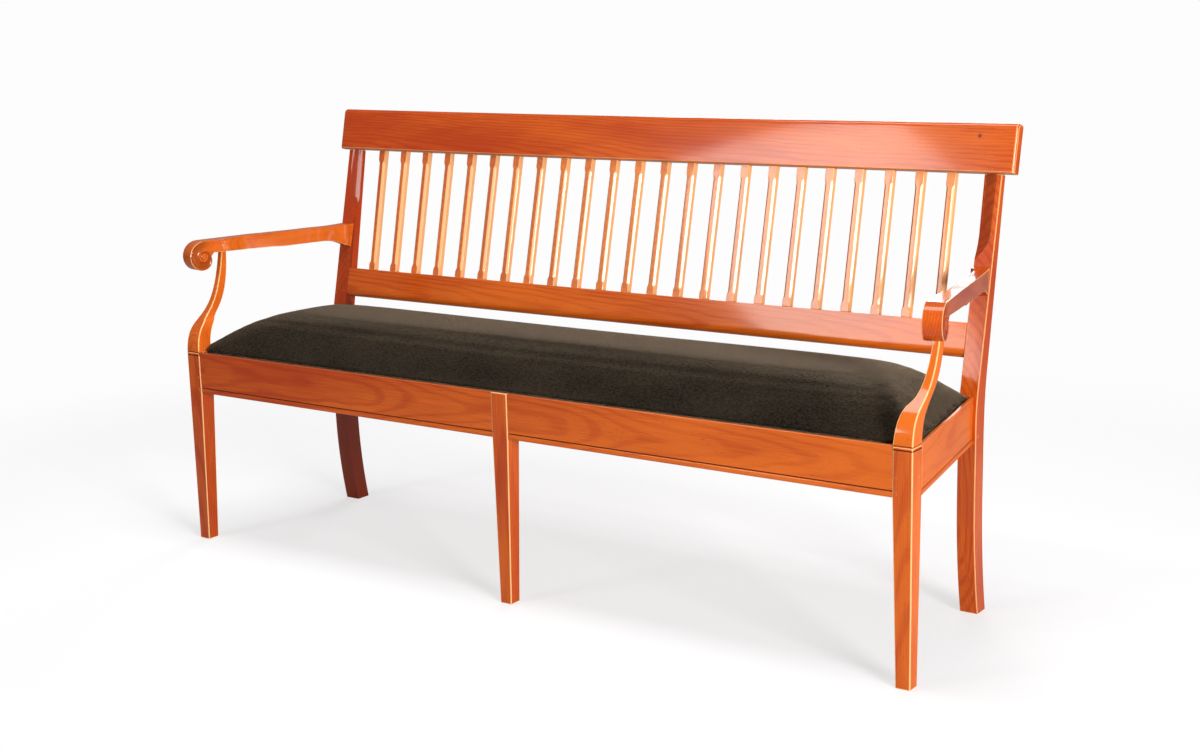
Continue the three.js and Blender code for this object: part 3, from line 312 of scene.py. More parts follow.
ARM_ANGLE = math.atan2(0.97519, 0.22137)
RAIL_ANGLE = math.atan2(0.3648, 0.0667)
THIN_VARNISH = 0.25
cherry_along = cherry("cherry_along_the_bench", (0, 0, 0))
cherry_across = cherry("cherry_across_the_bench", (0, 0, math.radians(90)))
cherry_upright = cherry("cherry_upright", (0, math.radians(90), 0))
cherry_arm_right = cherry("cherry_arm_right", (0, 0, ARM_ANGLE))
cherry_arm_left = cherry("cherry_arm_left", (0, 0, math.pi - ARM_ANGLE))
cherry_rail_right = cherry("cherry_side_rail_right", (0, 0, RAIL_ANGLE), THIN_VARNISH)
cherry_rail_left = cherry("cherry_side_rail_left", (0, 0, math.pi - RAIL_ANGLE), THIN_VARNISH)

# %% [markdown]
# ## Softening the arrises
#
# A joiner takes the sharp corners off with a plane and sandpaper, and it is these narrow rounds that
# catch the light as bright lines. A imported piece is loose triangles, so a copy is merged, its flat
# faces are made whole, and every long sharp corner gets a small bevel in two steps. The bevel's new
# faces are remembered in the `arris` attribute, with a share that turns them to cream, partly as wear
# and partly as a painted highlight for the light that the rounds catch. Very short edges, such as
# those round a peg hole, are left alone, because a bevel there would only fold over itself.
# `finished` then writes the piece's own place in the tree and its shade, which is partly the board's
# own tone and partly painted light and shade, and shades it smooth up to its real corners.

# %% Softened copies
SHARP = math.radians(24)
SMOOTH = math.radians(38)
WELD = 0.02 * MM
GROOVE_WIDEST = 3 * MM
WIDE_FACE = 3000 * MM**2
# Each board's tone, partly its own and partly painted light and shade: boards that the lamps leave too
# dark are lifted, and those they leave too bright are lowered.
TONES_AND_PAINTED_LIGHT = {
    "crest_rail_dressed": -0.1,
    "lower_back_rail_dressed": 0.12,
    "front_rail_right_dressed": 0.08,
    "arm_left_carved": 0.28,
    "arm_right_carved": -0.14,
    "arm_support_left_sawn": 0.28,
    "arm_support_right_sawn": 0.45,
    "back_post_left_dressed": -0.25,
    "back_post_right_dressed": -0.2,
}
board_count = 0


def merged_copy(name):
    bm = bmesh.new()
    bm.from_mesh(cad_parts[name].data)
    bmesh.ops.remove_doubles(bm, verts=bm.verts, dist=WELD)
    return bm


def within(value, low=0.0, high=1.0):
    return min(max(value, low), high)


def mirror_over(bm):
    bmesh.ops.transform(bm, matrix=Matrix.Diagonal((-1, 1, 1, 1)), verts=bm.verts)
    bmesh.ops.reverse_faces(bm, faces=bm.faces)


def make_whole(bm, turn=0.0015):
    bmesh.ops.dissolve_limit(bm, angle_limit=turn, verts=bm.verts, edges=bm.edges)


def sharp_edges(bm, shortest=3.5 * MM, chosen=None):
    found = []
    for edge in bm.edges:
        if len(edge.link_faces) != 2 or edge.calc_length() < shortest:
            continue
        if edge.calc_face_angle_signed(0.0) > SHARP and (chosen is None or chosen(edge)):
            found.append(edge)
    return found


# Narrow faces in a hollow are darkened, partly as gathered stain and partly as painted shade.
def mark_grooves(bm):
    mark = bm.faces.layers.float.get("stain_and_shade_mark") or bm.faces.layers.float.new("stain_and_shade_mark")
    for face in bm.faces:
        hollow = [edge for edge in face.edges if edge.calc_face_angle_signed(0.0) < -SHARP]
        longest = max(edge.calc_length() for edge in face.edges)
        narrow = face.calc_area() < GROOVE_WIDEST * longest
        if hollow and narrow and longest > 2 * GROOVE_WIDEST:
            face[mark] = 1.0
    return mark


# The last argument turns the new faces towards cream: partly wear, partly a painted highlight.
def bevel(bm, edges, width, segments=2, clamp=False, wear_and_highlight=0.3):
    mark = bm.faces.layers.float.get("arris") or bm.faces.layers.float.new("arris")
    made = bmesh.ops.bevel(
        bm,
        geom=edges,
        offset=width,
        offset_type="OFFSET",
        affect="EDGES",
        segments=segments,
        profile=0.5,
        material=-1,
        clamp_overlap=clamp,
    )
    for face in made["faces"]:
        face[mark] = wear_and_highlight


def finished(name, bm, material, slot, *stands_for):
    global board_count
    board_count += 1
    mark = bm.faces.layers.float.get("arris") or bm.faces.layers.float.new("arris")
    split = bm.edges.layers.float.get("split") or bm.edges.layers.float.new("split")
    board = bm.verts.layers.float_vector.new("board")
    middle = sum((vert.co for vert in bm.verts), Vector()) / len(bm.verts)
    middle = Euler(tuple(material.get("turn", (0, 0, 0)))).to_matrix() @ middle
    heart = Vector(
        (
            0.37 * board_count,
            0.075 + 0.013 * (board_count % 4),
            0.010 * (board_count % 5 - 2),
        )
    )
    # The shade layer is partly the board's own tone and partly painted light and shade.
    shade = bm.verts.layers.float.new("shade")
    for vert in bm.verts:
        vert[board] = heart - middle
        vert[shade] = TONES_AND_PAINTED_LIGHT.get(name, 0)
    for face in bm.faces:
        face.smooth = True
    for edge in bm.edges:
        soft = len(edge.link_faces) == 2 and edge.calc_face_angle(0.0) < SMOOTH
        edge.smooth = soft and not edge[split]
    mesh = bpy.data.meshes.new(name)
    bm.to_mesh(mesh)
    bm.free()
    piece = bpy.data.objects.new(name, mesh)
    bpy.context.scene.collection.objects.link(piece)
    mesh.materials.append(material)
    even = piece.modifiers.new("even shading", "WEIGHTED_NORMAL")
    even.keep_sharp = True
    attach(piece, "root")
    if stands_for:
        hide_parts(*stands_for)
    return piece


def split_edges(bm, angle):
    mark = bm.edges.layers.float.new("split")
    for edge in bm.edges:
        if len(edge.link_faces) != 2 or edge.calc_face_angle(0.0) <= angle:
            continue
        if max(face.calc_area() for face in edge.link_faces) > WIDE_FACE:
            edge[mark] = 1.0


# Painted shade: the post hollows and the left back leg below the seat are darkened.
HOLLOW_FROM = 640 * MM
HOLLOW_PAINTED_SHADE = 0.3
FOOT_TO = 400 * MM
FOOT_PAINTED_SHADE = 0.6


def paint_shade_in_hollow_and_foot(bm, stain_and_shade_layer):
    for face in bm.faces:
        middle = face.calc_center_median()
        inwards = -face.normal.x * math.copysign(1, middle.x)
        if middle.z > HOLLOW_FROM and face.normal.y < -0.3 and 0.12 < inwards < 0.97:
            face[stain_and_shade_layer] = HOLLOW_PAINTED_SHADE
        if middle.x < 0 and middle.z < FOOT_TO:
            face[stain_and_shade_layer] = FOOT_PAINTED_SHADE


def softened(node_name, material, width, wear_and_highlight, split_at=None, pale=0.0):
    bm = merged_copy(node_name)
    make_whole(bm)
    stain_and_shade_layer = mark_grooves(bm)
    arris = bm.faces.layers.float.new("arris")
    # `pale` paints a highlight on faces turned to the right, and a weaker painted sheen on the fronts
    # that grows towards the right.
    for face in bm.faces:
        front = 0.3 + 0.25 * face.calc_center_median().x if face.normal.x > -0.3 else 0.0
        face[arris] = pale * (1.0 if face.normal.x > 0.3 else front) if face.normal.y < 0.3 else 0.0
    if split_at:
        split_edges(bm, math.radians(split_at))
        paint_shade_in_hollow_and_foot(bm, stain_and_shade_layer)

    def plain(edge):
        return all(face[stain_and_shade_layer] == 0 for face in edge.link_faces)

    bevel(bm, sharp_edges(bm, chosen=plain), width, wear_and_highlight=wear_and_highlight)
    return finished(node_name + "_dressed", bm, material, "cherry", node_name)


print("softening helpers ready")

# %% [markdown]
# ## Legs, posts and rails
#
# These are the straight carpentry of the bench. Their shapes are already right in the frame: the
# tapers, the line scratched round the top of each front leg, the bead under the rails and the
# hollow in each post. They only need softened arrises and wood that runs the right way: upright in
# the legs, posts and slats, along the bench in its rails, and from front to back in the side rails.
# The side rails draw in towards the back, so each has a material turned to its own line; turned
# straight back, the rings would cross them as arcs.
# The hollows of the posts are painted a little darker than their flats as painted shade, with a
# crisp line between the two, so those edges stay split. The left back leg below the seat is painted
# nearly black as painted shade. The slats get a painted highlight on their right chamfers and sides,
# and a weaker painted sheen on their fronts, which grows towards the right.

# %% Legs, posts, rails and slats
LEGS = ["front_leg_left", "front_leg_middle", "front_leg_right"]
LONG = ["front_rail_left", "front_rail_right", "back_seat_rail", "lower_back_rail"]
BEARERS = ["cross_bearer_1", "cross_bearer_2", "cross_bearer_3"]
SLATS = sorted(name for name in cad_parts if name.startswith("slat_"))
BLOCKS = [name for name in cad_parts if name.startswith("corner_block")]

for name in LEGS:
    softened(name, cherry_upright, 2.0 * MM, 0.75)
for name in ["back_post_left", "back_post_right"]:
    softened(name, cherry_upright, 1.8 * MM, 0.45, split_at=7)
for name in LONG:
    softened(name, cherry_along, 1.0 * MM, 0.12)
softened("side_rail_left", cherry_rail_left, 1.0 * MM, 0.2)
softened("side_rail_right", cherry_rail_right, 1.0 * MM, 0.2)
for name in BEARERS:
    softened(name, cherry_across, 1.0 * MM, 0.2)
for name in BLOCKS:
    softened(name, cherry_along, 1.0 * MM, 0.1)
# The slats' pale share is painted highlight and sheen.
for name in SLATS:
    softened(name, cherry_upright, 0.7 * MM, 0.5, pale=0.6)
print(f"{board_count} pieces softened")

# %% [markdown]
# ## The arm supports
#
# Each support is sawn twice, once as seen from the side and once as seen from the front, and both
# saw lines are long S curves. The same is done here to a plain block: it is cut into thirty slices,
# and the four corners of each slice move to where the curves pass at that height. The small groove
# round its foot, where it stands on the leg, is painted as a dark line, partly old varnish in the
# joint and partly painted shade in the gap.

# %% Arm supports
SUPPORT_FOOT = 432 * MM
SUPPORT_TOP = 643 * MM
LEG_SIZE = 37.5 * MM
TOP_WIDTH = 13 * MM
TOP_DEPTH = 14 * MM
LEAN = 111 * MM
SLICES = 30
LINE_POINTS = 90
outer_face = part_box("front_leg_right")[1].x


def saw_line(foot, top, low_share, high_share):
    def place(run, height):
        rise = SUPPORT_FOOT + (SUPPORT_TOP - SUPPORT_FOOT) * height
        return Vector((foot + (top - foot) * run, rise, 0))

    return interpolate_bezier(
        place(0, 0), place(*low_share), place(*high_share), place(1, 1), LINE_POINTS
    )


def at_height(line, height):
    for before, after in zip(line, line[1:]):
        if after.y >= height:
            share = (height - before.y) / max(after.y - before.y, 1e-9)
            return before.x + (after.x - before.x) * within(share)
    return line[-1].x


front_line = saw_line(FRONT, FRONT + LEAN, (0.062, 0.478), (0.732, 0.141))
rear_line = saw_line(FRONT + LEG_SIZE, FRONT + LEAN + TOP_DEPTH, (0.02, 0.461), (0.936, 0.216))
inner_line = saw_line(outer_face - LEG_SIZE, outer_face - TOP_WIDTH, (0.342, 0.652), (0.968, -0.095))


def arm_support(side):
    bm = bmesh.new()
    bmesh.ops.create_cube(bm, size=1.0)
    standing_edges = [e for e in bm.edges if abs(e.verts[0].co.z - e.verts[1].co.z) > 0.5]
    bmesh.ops.subdivide_edges(bm, edges=standing_edges, cuts=SLICES - 1, use_grid_fill=True)
    for vert in bm.verts:
        height = SUPPORT_FOOT + (vert.co.z + 0.5) * (SUPPORT_TOP - SUPPORT_FOOT)
        across = outer_face if vert.co.x > 0 else at_height(inner_line, height)
        deep = at_height(front_line if vert.co.y < 0 else rear_line, height)
        vert.co = Vector((across, deep, height))
    foot = [e for e in bm.edges if all(v.co.z < SUPPORT_FOOT + 0.1 * MM for v in e.verts)]
    shown = [e for e in foot if all(v.co.y < FRONT + MM for v in e.verts)]
    shown += [e for e in foot if all(v.co.x > outer_face - MM for v in e.verts)]
    bevel(bm, shown, 1.3 * MM, 1, wear_and_highlight=1.0)
    # The foot's bevel is darkened: partly old varnish in the joint, partly painted shade in the gap.
    dark = bm.faces.layers.float.new("stain_and_shade_mark")
    arris = bm.faces.layers.float["arris"]
    for face in bm.faces:
        face[dark], face[arris] = (1.0 if face[arris] else 0.0), 0.0
    long_edges = [
        e
        for e in sharp_edges(bm, 2.0 * MM)
        if abs(e.verts[0].co.z - e.verts[1].co.z) > 2.0 * MM and all(f[dark] == 0 for f in e.link_faces)
    ]
    bevel(bm, long_edges, 2.0 * MM, wear_and_highlight=0.75)
    if side < 0:
        mirror_over(bm)
    node_name = "arm_support_right" if side > 0 else "arm_support_left"
    finished(node_name + "_sawn", bm, cherry_upright, "cherry", node_name)


arm_support(1)
arm_support(-1)
print("arm supports sawn")

# %% [markdown]
# ## The crest rail
#
# The crest is bowed to meet a sitter's shoulders, and its front edges are rounded like a pillow. The
# frame already has the bow and the rounds, so the copy keeps their facets and shades them smooth;
# only the square arrises at its foot and its back get a bevel.

# %% Crest rail
crest = merged_copy("crest_rail")
make_whole(crest, 0.0004)
bevel(crest, sharp_edges(crest), 1.2 * MM, wear_and_highlight=0.35)
finished("crest_rail_dressed", crest, cherry_along, "cherry", "crest_rail")
print("crest rail dressed")

# %% [markdown]
# ## The arms
#
# Each arm is sawn to shape from above and from the side, and then its top is rolled over towards the
# sitter, while the outer arris stays crisp. `arm_place` turns a point into lengths along the arm,
# outwards across it and up from the eye of its scroll. The long top and underside of the real arm
# run straighter than those of the plain solid, so the points of the copy follow two lines of small
# lifts, given in millimetres behind the eye. Then the inner top edge gets a wide bevel in five steps
# and all the others a narrow one.

# %% Arms
FORWARD = Vector((0.22137, -0.97519, 0))
OUTWARD = Vector((0.97519, 0.22137, 0))
EYE = Vector((0.88961, FRONT + 66.7 * MM, 635.5 * MM))
HALF_WIDTH = 17.5 * MM
LOW_SIDE = 637 * MM
TOP_SIDE = 665 * MM
TOP_LIFT = [(0, 0), (0.17, 0), (0.22, 2.5), (0.29, 7.0), (0.4, 5.6)]
LOW_LIFT = [(0.03, 0), (0.11, -4.3), (0.145, -3.5), (0.19, 1.9), (0.25, 3.5), (0.45, 2.2)]


def arm_place(point):
    apart = point - EYE
    return apart.dot(FORWARD), apart.dot(OUTWARD), apart.z


def rolled_edge(edge):
    middle = (edge.verts[0].co + edge.verts[1].co) / 2
    ahead_of, outward, height = arm_place(middle)
    normals = [face.normal for face in edge.link_faces]
    inside = min(normal.dot(OUTWARD) for normal in normals) < -0.7
    facing = max(normal.z + max(normal.dot(FORWARD), 0) for normal in normals)
    return inside and facing > 0.6 and outward < 0.008 and ahead_of < -0.02


def follow(line, place):
    for (start, first), (end, last) in zip(line, line[1:]):
        if place <= end:
            return first + (last - first) * max(place - start, 0) / (end - start)
    return line[-1][1]


arm = merged_copy("arm_right")
make_whole(arm, 0.0008)
for vert in arm.verts:
    ahead_of, outward, height = arm_place(vert.co)
    share = within((vert.co.z - LOW_SIDE) / (TOP_SIDE - LOW_SIDE))
    top, low = follow(TOP_LIFT, -ahead_of), follow(LOW_LIFT, -ahead_of)
    vert.co.z += (top * share + low * (1 - share)) * MM
rolled = sharp_edges(arm, 1.0 * MM, rolled_edge)
crisp = [edge for edge in sharp_edges(arm, 3.0 * MM) if edge not in set(rolled)]
print(f"arm: {len(rolled)} edges rolled, {len(crisp)} kept crisp")
bevel(arm, rolled, 6.0 * MM, 5, True, 0.0)
bevel(arm, [edge for edge in crisp if edge.is_valid], 1.3 * MM, wear_and_highlight=0.6)

# %% [markdown]
# ## Carving the scrolls
#
# A carver runs a gouge round the scroll from the top of the arm to the eye, leaving a thin raised
# line between one turn and the next. The same can be done with a cutter: a shallow gouge section is
# extruded step by step along the spiral, each step turned, moved and scaled to the width left
# between the turns. A Boolean then takes it out of the wood on both faces. The cut is darkened,
# partly as gathered stain and partly as painted shade in the hollow, and the thin ridges between the
# turns are made pale, partly as wear and partly as a painted highlight.

# %% The spiral
RADIUS = 35.5 * MM
TUCK = 0.5
CURL_END = 1.5 * math.pi
TURN_SHARE = 0.45
EYE_RADIUS = 4.6 * MM
LINE = 1.5 * MM
CUT_FROM = -0.6
CUT_TO = 2 * math.tau - 1.1
CUT_STEPS = 84


def spiral(turn):
    if turn < 0:
        return RADIUS / math.cos(turn)
    if turn <= CURL_END:
        return RADIUS * (1 - TUCK * (turn / CURL_END) ** 3)
    return RADIUS * (1 - TUCK) * TURN_SHARE ** ((turn - CURL_END) / math.tau)


def gouge_place(turn):
    outer = spiral(turn) - LINE
    inner = max(spiral(turn + math.tau) + LINE / 2, EYE_RADIUS)
    fade = within((turn - CUT_FROM) / (-2 * CUT_FROM), 0.02)
    half = max((outer - inner) / 2, 0.3 * MM)
    depth = (0.24 * half + 0.7 * MM) * fade
    middle = (outer + inner) / 2
    spot = Matrix.Translation((middle * math.sin(turn), middle * math.cos(turn), 0))
    return spot @ Matrix.Rotation(-turn, 4, "Z") @ Matrix.Diagonal((half, half, depth, 1))


def gouge(start, end, steps):
    bm = bmesh.new()
    bmesh.ops.create_circle(bm, segments=20, radius=1.0)
    upright = Matrix.Rotation(math.radians(90), 4, "Y")
    bmesh.ops.transform(bm, matrix=upright, verts=bm.verts)
    for vert in bm.verts:
        vert.co.z = min(vert.co.z, 0.0) if vert.co.z < -0.01 else 0.6
    before = gouge_place(start)
    bmesh.ops.transform(bm, matrix=before, verts=bm.verts)
    rim = list(bm.edges)
    bmesh.ops.contextual_create(bm, geom=rim)
    for step in range(1, steps + 1):
        here = gouge_place(start + (end - start) * step / steps)
        made = bmesh.ops.extrude_edge_only(bm, edges=rim)["geom"]
        moved = [part for part in made if isinstance(part, bmesh.types.BMVert)]
        rim = [part for part in made if isinstance(part, bmesh.types.BMEdge)]
        rim = [edge for edge in rim if all(vert in set(moved) for vert in edge.verts)]
        bmesh.ops.transform(bm, matrix=here @ before.inverted(), verts=moved)
        before = here
    bmesh.ops.contextual_create(bm, geom=rim)
    bmesh.ops.recalc_face_normals(bm, faces=bm.faces)
    return bm


print("scroll cutter ready")


# %% Carve both faces of the right arm
def settled(piece):
    dressed = piece.evaluated_get(bpy.context.evaluated_depsgraph_get())
    return bpy.data.meshes.new_from_object(dressed)


def standing(bm, name):
    mesh = bpy.data.meshes.new(name)
    bm.to_mesh(mesh)
    bm.free()
    piece = bpy.data.objects.new(name, mesh)
    bpy.context.scene.collection.objects.link(piece)
    return piece


def carved(blank, cutters):
    for cutter in cutters:
        take = blank.modifiers.new("carve", "BOOLEAN")
        take.operation = "DIFFERENCE"
        take.solver = "EXACT"
        take.object = cutter
    bpy.context.view_layer.update()
    dressed = blank.evaluated_get(bpy.context.evaluated_depsgraph_get())
    bm = bmesh.new()
    bm.from_mesh(dressed.to_mesh())
    for spare in [blank, *cutters]:
        bpy.data.objects.remove(spare)
    return bm


def scroll_frame(side):
    across = OUTWARD * side
    turned = Matrix((FORWARD, Vector((0, 0, 1)), across)).transposed().to_4x4()
    return Matrix.Translation(EYE + across * HALF_WIDTH) @ turned


cutters = []
for side in (1, -1):
    bm = gouge(CUT_FROM, CUT_TO, CUT_STEPS)
    bmesh.ops.transform(bm, matrix=scroll_frame(side), verts=bm.verts)
    bmesh.ops.recalc_face_normals(bm, faces=bm.faces)
    cutters.append(standing(bm, f"gouge_{side}"))
arm = carved(standing(arm, "arm_blank"), cutters)
dark = arm.faces.layers.float.get("stain_and_shade_mark") or arm.faces.layers.float.new("stain_and_shade_mark")
# The cut is darkened with its depth: partly stain, partly painted shade.
for face in arm.faces:
    ahead_of, outward, height = arm_place(face.calc_center_median())
    depth = HALF_WIDTH - abs(outward)
    if math.hypot(ahead_of, height) < RADIUS and 0.1 * MM < depth < 5 * MM:
        if abs(face.normal.dot(OUTWARD)) > 0.15:
            face[dark] = 0.5 * min(depth / (1.6 * MM), 1)
# The ridges are made pale: partly wear, partly a painted highlight.
ridges = [
    edge
    for edge in arm.edges
    if len(edge.link_faces) == 2
    and max(face[dark] for face in edge.link_faces) > 0
    and min(face[dark] for face in edge.link_faces) == 0
    and HALF_WIDTH - abs(arm_place(edge.verts[0].co)[1]) < 0.02 * MM
    and edge.calc_length() > 0.5 * MM
]
bevel(arm, ridges, 0.35 * MM, 1, True, 0.7)
print(f"arm carved: {len(arm.faces)} faces, {len(ridges)} ridge edges")

# %% [markdown]
# The left arm is the mirror image of the right one. Mirroring turns a shape inside out, so its faces
# are reversed afterwards.

# %% Both arms
left = arm.copy()
mirror_over(left)
finished("arm_right_carved", arm, cherry_arm_right, "cherry", "arm_right")
finished("arm_left_carved", left, cherry_arm_left, "cherry", "arm_left")
print("arms dressed")

# %% [markdown]
# ## Pegs
#
# The joints are pinned with round pegs, left a hair proud of the surface and softened by sanding.
# The frame has those of the back. Two more show on the front and two on the outer face of each
# corner leg, where they pin the tenons of the rails, and each post has one at its front and one at
# its side. A peg is a short cylinder with a bevelled end, turned to face the way it was driven.

# %% Pegs
PEG_RADIUS = 2.6 * MM
PEG_DEPTH = 2.0 * MM
PEG_PROUD = 0.35 * MM
PEG_SIDES = 14
LEG_PEGS = (375 * MM, 348 * MM)


def peg(bm, place, facing):
    turned = Vector((0, 0, 1)).rotation_difference(facing).to_matrix().to_4x4()
    sunk = place + facing * (PEG_PROUD - PEG_DEPTH / 2)
    made = bmesh.ops.create_cone(
        bm,
        cap_ends=True,
        segments=PEG_SIDES,
        radius1=PEG_RADIUS,
        radius2=PEG_RADIUS,
        depth=PEG_DEPTH,
        matrix=Matrix.Translation(sunk) @ turned,
    )
    outer = {vert for vert in made["verts"] if (vert.co - sunk).dot(facing) > 0}
    rim = [edge for edge in bm.edges if set(edge.verts) <= outer]
    bevel(bm, rim, 0.4 * MM, 2)


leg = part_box("front_leg_right")
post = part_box("back_post_right")
pegs = bmesh.new()
for side in (-1, 1):
    for height in LEG_PEGS:
        peg(pegs, Vector((side * (leg[0].x + 7 * MM), FRONT, height)), Vector((0, -1, 0)))
        peg(pegs, Vector((side * leg[1].x, FRONT + 30 * MM, height)), Vector((side, 0, 0)))
    peg(pegs, Vector((side * (post[1].x - 7 * MM), post[0].y, 346 * MM)), Vector((0, -1, 0)))
    peg(pegs, Vector((side * post[1].x, post[0].y + 11 * MM, 356 * MM)), Vector((side, 0, 0)))
finished("leg_pegs", pegs, cherry_upright, "cherry")
for name in [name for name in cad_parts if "_peg_" in name]:
    bm = merged_copy(name)
    make_whole(bm)
    finished(name + "_dressed", bm, cherry_upright, "cherry", name)
print("pegs driven")

# %% [markdown]
# ## Velvet
#
# Velvet is a short dense pile. Seen straight on it swallows light, and at a glancing angle the tips
# of its fibres shine, which is what the sheen lobe of the Principled shader does. The nap lies one
# way here and another there, so a slow cloud lifts and sinks the colour, and a fine speck stands for
# the pile itself.

# %% Velvet material
NAP_DARK = (0.004, 0.0027, 0.0015, 1)
NAP_LIGHT = (0.030, 0.0215, 0.0125, 1)

velvet, tree, surface = new_material("brown_velvet")
place = node(tree, "ShaderNodeTexCoord").outputs["Object"]
nap = place_effect(tree, handling, {"Vector": stretched(tree, place, (1.0, 1.8, 1.0)), "Size": 7.0})
slow_share = calc(tree, "MULTIPLY", nap["Cloud"], 0.35)
share = calc(tree, "ADD", slow_share, calc(tree, "MULTIPLY", nap["Speck"], 0.65))
tree.links.new(blend(tree, share, NAP_DARK, NAP_LIGHT), surface.inputs["Base Color"])
bump = node(tree, "ShaderNodeBump", {"Height": nap["Speck"], "Strength": 0.5, "Distance": 0.0008})
tree.links.new(bump.outputs[0], surface.inputs["Normal"])
surface.inputs["Roughness"].default_value = 0.9
surface.inputs["Specular IOR Level"].default_value = 0.08
surface.inputs["Sheen Weight"].default_value = 0.42
surface.inputs["Sheen Roughness"].default_value = 0.32
surface.inputs["Sheen Tint"].default_value = (0.62, 0.47, 0.32, 1)
print("material:", velvet.name)

# %% [markdown]
# ## The seat cushion
#
# The drop-in seat is a foam pad under velvet, drawn down over the edge of a board. Its crown is full
# and its sides pull in between the corners. Most of this shape is worked out rather than simulated.
# It starts from the frame's own pad, made a little flatter. That pad's crown has long facets, so
# away from its rim the points move to an even crown, which falls off steeply at the ends and more
# slowly towards the front and back. A short cloth simulation with air pressure inside then moves
# the cover by some millimetres. It is stopped before it settles, the underside is pinned to the
# board, and each point's movement is cut off at a set limit, which about half of them reach, so
# that the pad stays between the rails. More frames would change the shape a little.

# %% Cushion blank
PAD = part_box("seat_cushion")
FLATTENED = 0.965
VOXEL = 8.5 * MM
LIMIT = 6 * MM
PAD_RIM = 2.5 * MM
PAD_DRAW = 2 * MM
EVEN_FROM = 12 * MM
END_POWER = 17
DEEP_POWER = 3.75


def pad_shares(point):
    middle, half = (PAD[0] + PAD[1]) / 2, (PAD[1] - PAD[0]) / 2
    return abs(point.x) / half.x, abs(point.y - middle.y) / (half.y - PAD_DRAW)


def crown_height(point):
    along, deep = pad_shares(point)
    full = (1 - along**END_POWER) * (1 - min(deep, 1) ** DEEP_POWER)
    return PAD[0].z + (PAD_RIM + (PAD[1].z - PAD[0].z - PAD_RIM) * full) * FLATTENED


def even_share(point):
    along, deep = pad_shares(point)
    return within((0.88 - along) / 0.08) * within((0.9 - deep) / 0.1)


def pad_blank():
    bm = merged_copy("seat_cushion")
    squash = Matrix.Translation((0, 0, PAD[0].z)) @ Matrix.Diagonal((1, 1, FLATTENED, 1))
    bmesh.ops.transform(bm, matrix=squash @ Matrix.Translation((0, 0, -PAD[0].z)), verts=bm.verts)
    piece = standing(bm, "seat_cushion_velvet")
    remesh = piece.modifiers.new("remesh", "REMESH")
    remesh.mode = "VOXEL"
    remesh.voxel_size = VOXEL
    made = settled(piece)
    piece.modifiers.clear()
    for vert in made.vertices:
        if vert.co.z > PAD[0].z + EVEN_FROM:
            vert.co.z += (crown_height(vert.co) - vert.co.z) * even_share(vert.co)
    piece.data = made
    return piece


cushion = pad_blank()
print(f"cushion blank: {len(cushion.data.vertices)} points")


# %% Fill the cushion
PINNED_TO = 3.5 * MM
PRESSURE = 4.0
FRAMES = 14
CLOTH = {
    "quality": 6,
    "mass": 0.3,
    "tension_stiffness": 25,
    "compression_stiffness": 25,
    "bending_stiffness": 2.0,
    "use_pressure": True,
    "uniform_pressure_force": PRESSURE,
    "vertex_group_mass": "pinned",
}


def fill_with_air(piece):
    pinned = piece.vertex_groups.new(name="pinned")
    low = [v.index for v in piece.data.vertices if v.co.z < PAD[0].z + PINNED_TO]
    pinned.add(low, 1.0, "REPLACE")
    start = [v.co.copy() for v in piece.data.vertices]
    cloth = piece.modifiers.new("air", "CLOTH")
    for setting, value in CLOTH.items():
        setattr(cloth.settings, setting, value)
    cloth.settings.effector_weights.gravity = 0.0
    cloth.collision_settings.use_collision = False
    scene = bpy.context.scene
    for number in range(1, FRAMES + 1):
        scene.frame_set(number)
    swollen = settled(piece)
    piece.modifiers.clear()
    moved = 0.0
    for vert, old, new in zip(piece.data.vertices, start, swollen.vertices):
        step = new.co - old
        step *= min(1.0, LIMIT / max(step.length, 1e-9))
        moved = max(moved, step.length)
        vert.co = old + step
    scene.frame_set(1)
    return moved


print(f"cushion filled: points moved up to {fill_with_air(cushion) * 1000:.1f} mm")

# %% [markdown]
# The seat's board edge holds the velvet down all round, so whatever the air pushed past the rabbet
# is brought back inside the pad's own outline. Many rounds of smoothing even out the surface, the
# lowest band is spread outwards a little, so that the velvet meets the rails all round, and the
# whole pad is scaled until its crown stands a little above that of the plain pad. That height was
# chosen to fit the outline in the photograph.

# %% Trim and finish the cushion
EDGE_SPREAD = 2.6 * MM
EDGE_HEIGHT = 26 * MM
CROWN_FROM = 16 * MM
CROWN_ROUNDS = 30
CROWN_PROUD = 9 * MM

bm = bmesh.new()
bm.from_mesh(cushion.data)
every_way = {"use_axis_x": True, "use_axis_y": True, "use_axis_z": True}
bmesh.ops.smooth_vert(bm, verts=bm.verts, factor=0.5, **every_way)
crown = [vert for vert in bm.verts if vert.co.z > PAD[0].z + CROWN_FROM]
for _ in range(CROWN_ROUNDS):
    bmesh.ops.smooth_vert(bm, verts=crown, factor=0.5, use_axis_z=True)
highest = max(vert.co.z for vert in bm.verts if abs(vert.co.x) < PAD[1].x / 2)
rise = (PAD[1].z + CROWN_PROUD - PAD[0].z) / (highest - PAD[0].z)
print(f"crown restored by {rise:.3f}")
bm.normal_update()
spreads = []
for vert in bm.verts:
    sideways = Vector((vert.normal.x, vert.normal.y, 0))
    share = 1 - min((vert.co.z - PAD[0].z) / EDGE_HEIGHT, 1)
    spreads.append(sideways.normalized() * EDGE_SPREAD * share if sideways.length > 0.3 else Vector())
for vert, step in zip(bm.verts, spreads):
    vert.co += step
for vert in bm.verts:
    vert.co.x = within(vert.co.x, PAD[0].x, PAD[1].x)
    vert.co.y = within(vert.co.y, PAD[0].y, PAD[1].y)
    vert.co.z = PAD[0].z + max(vert.co.z - PAD[0].z, 0) * rise
for face in bm.faces:
    face.smooth = True
bm.to_mesh(cushion.data)
bm.free()
cushion.data.materials.clear()
cushion.data.materials.append(velvet)
fine = cushion.modifiers.new("fine", "SUBSURF")
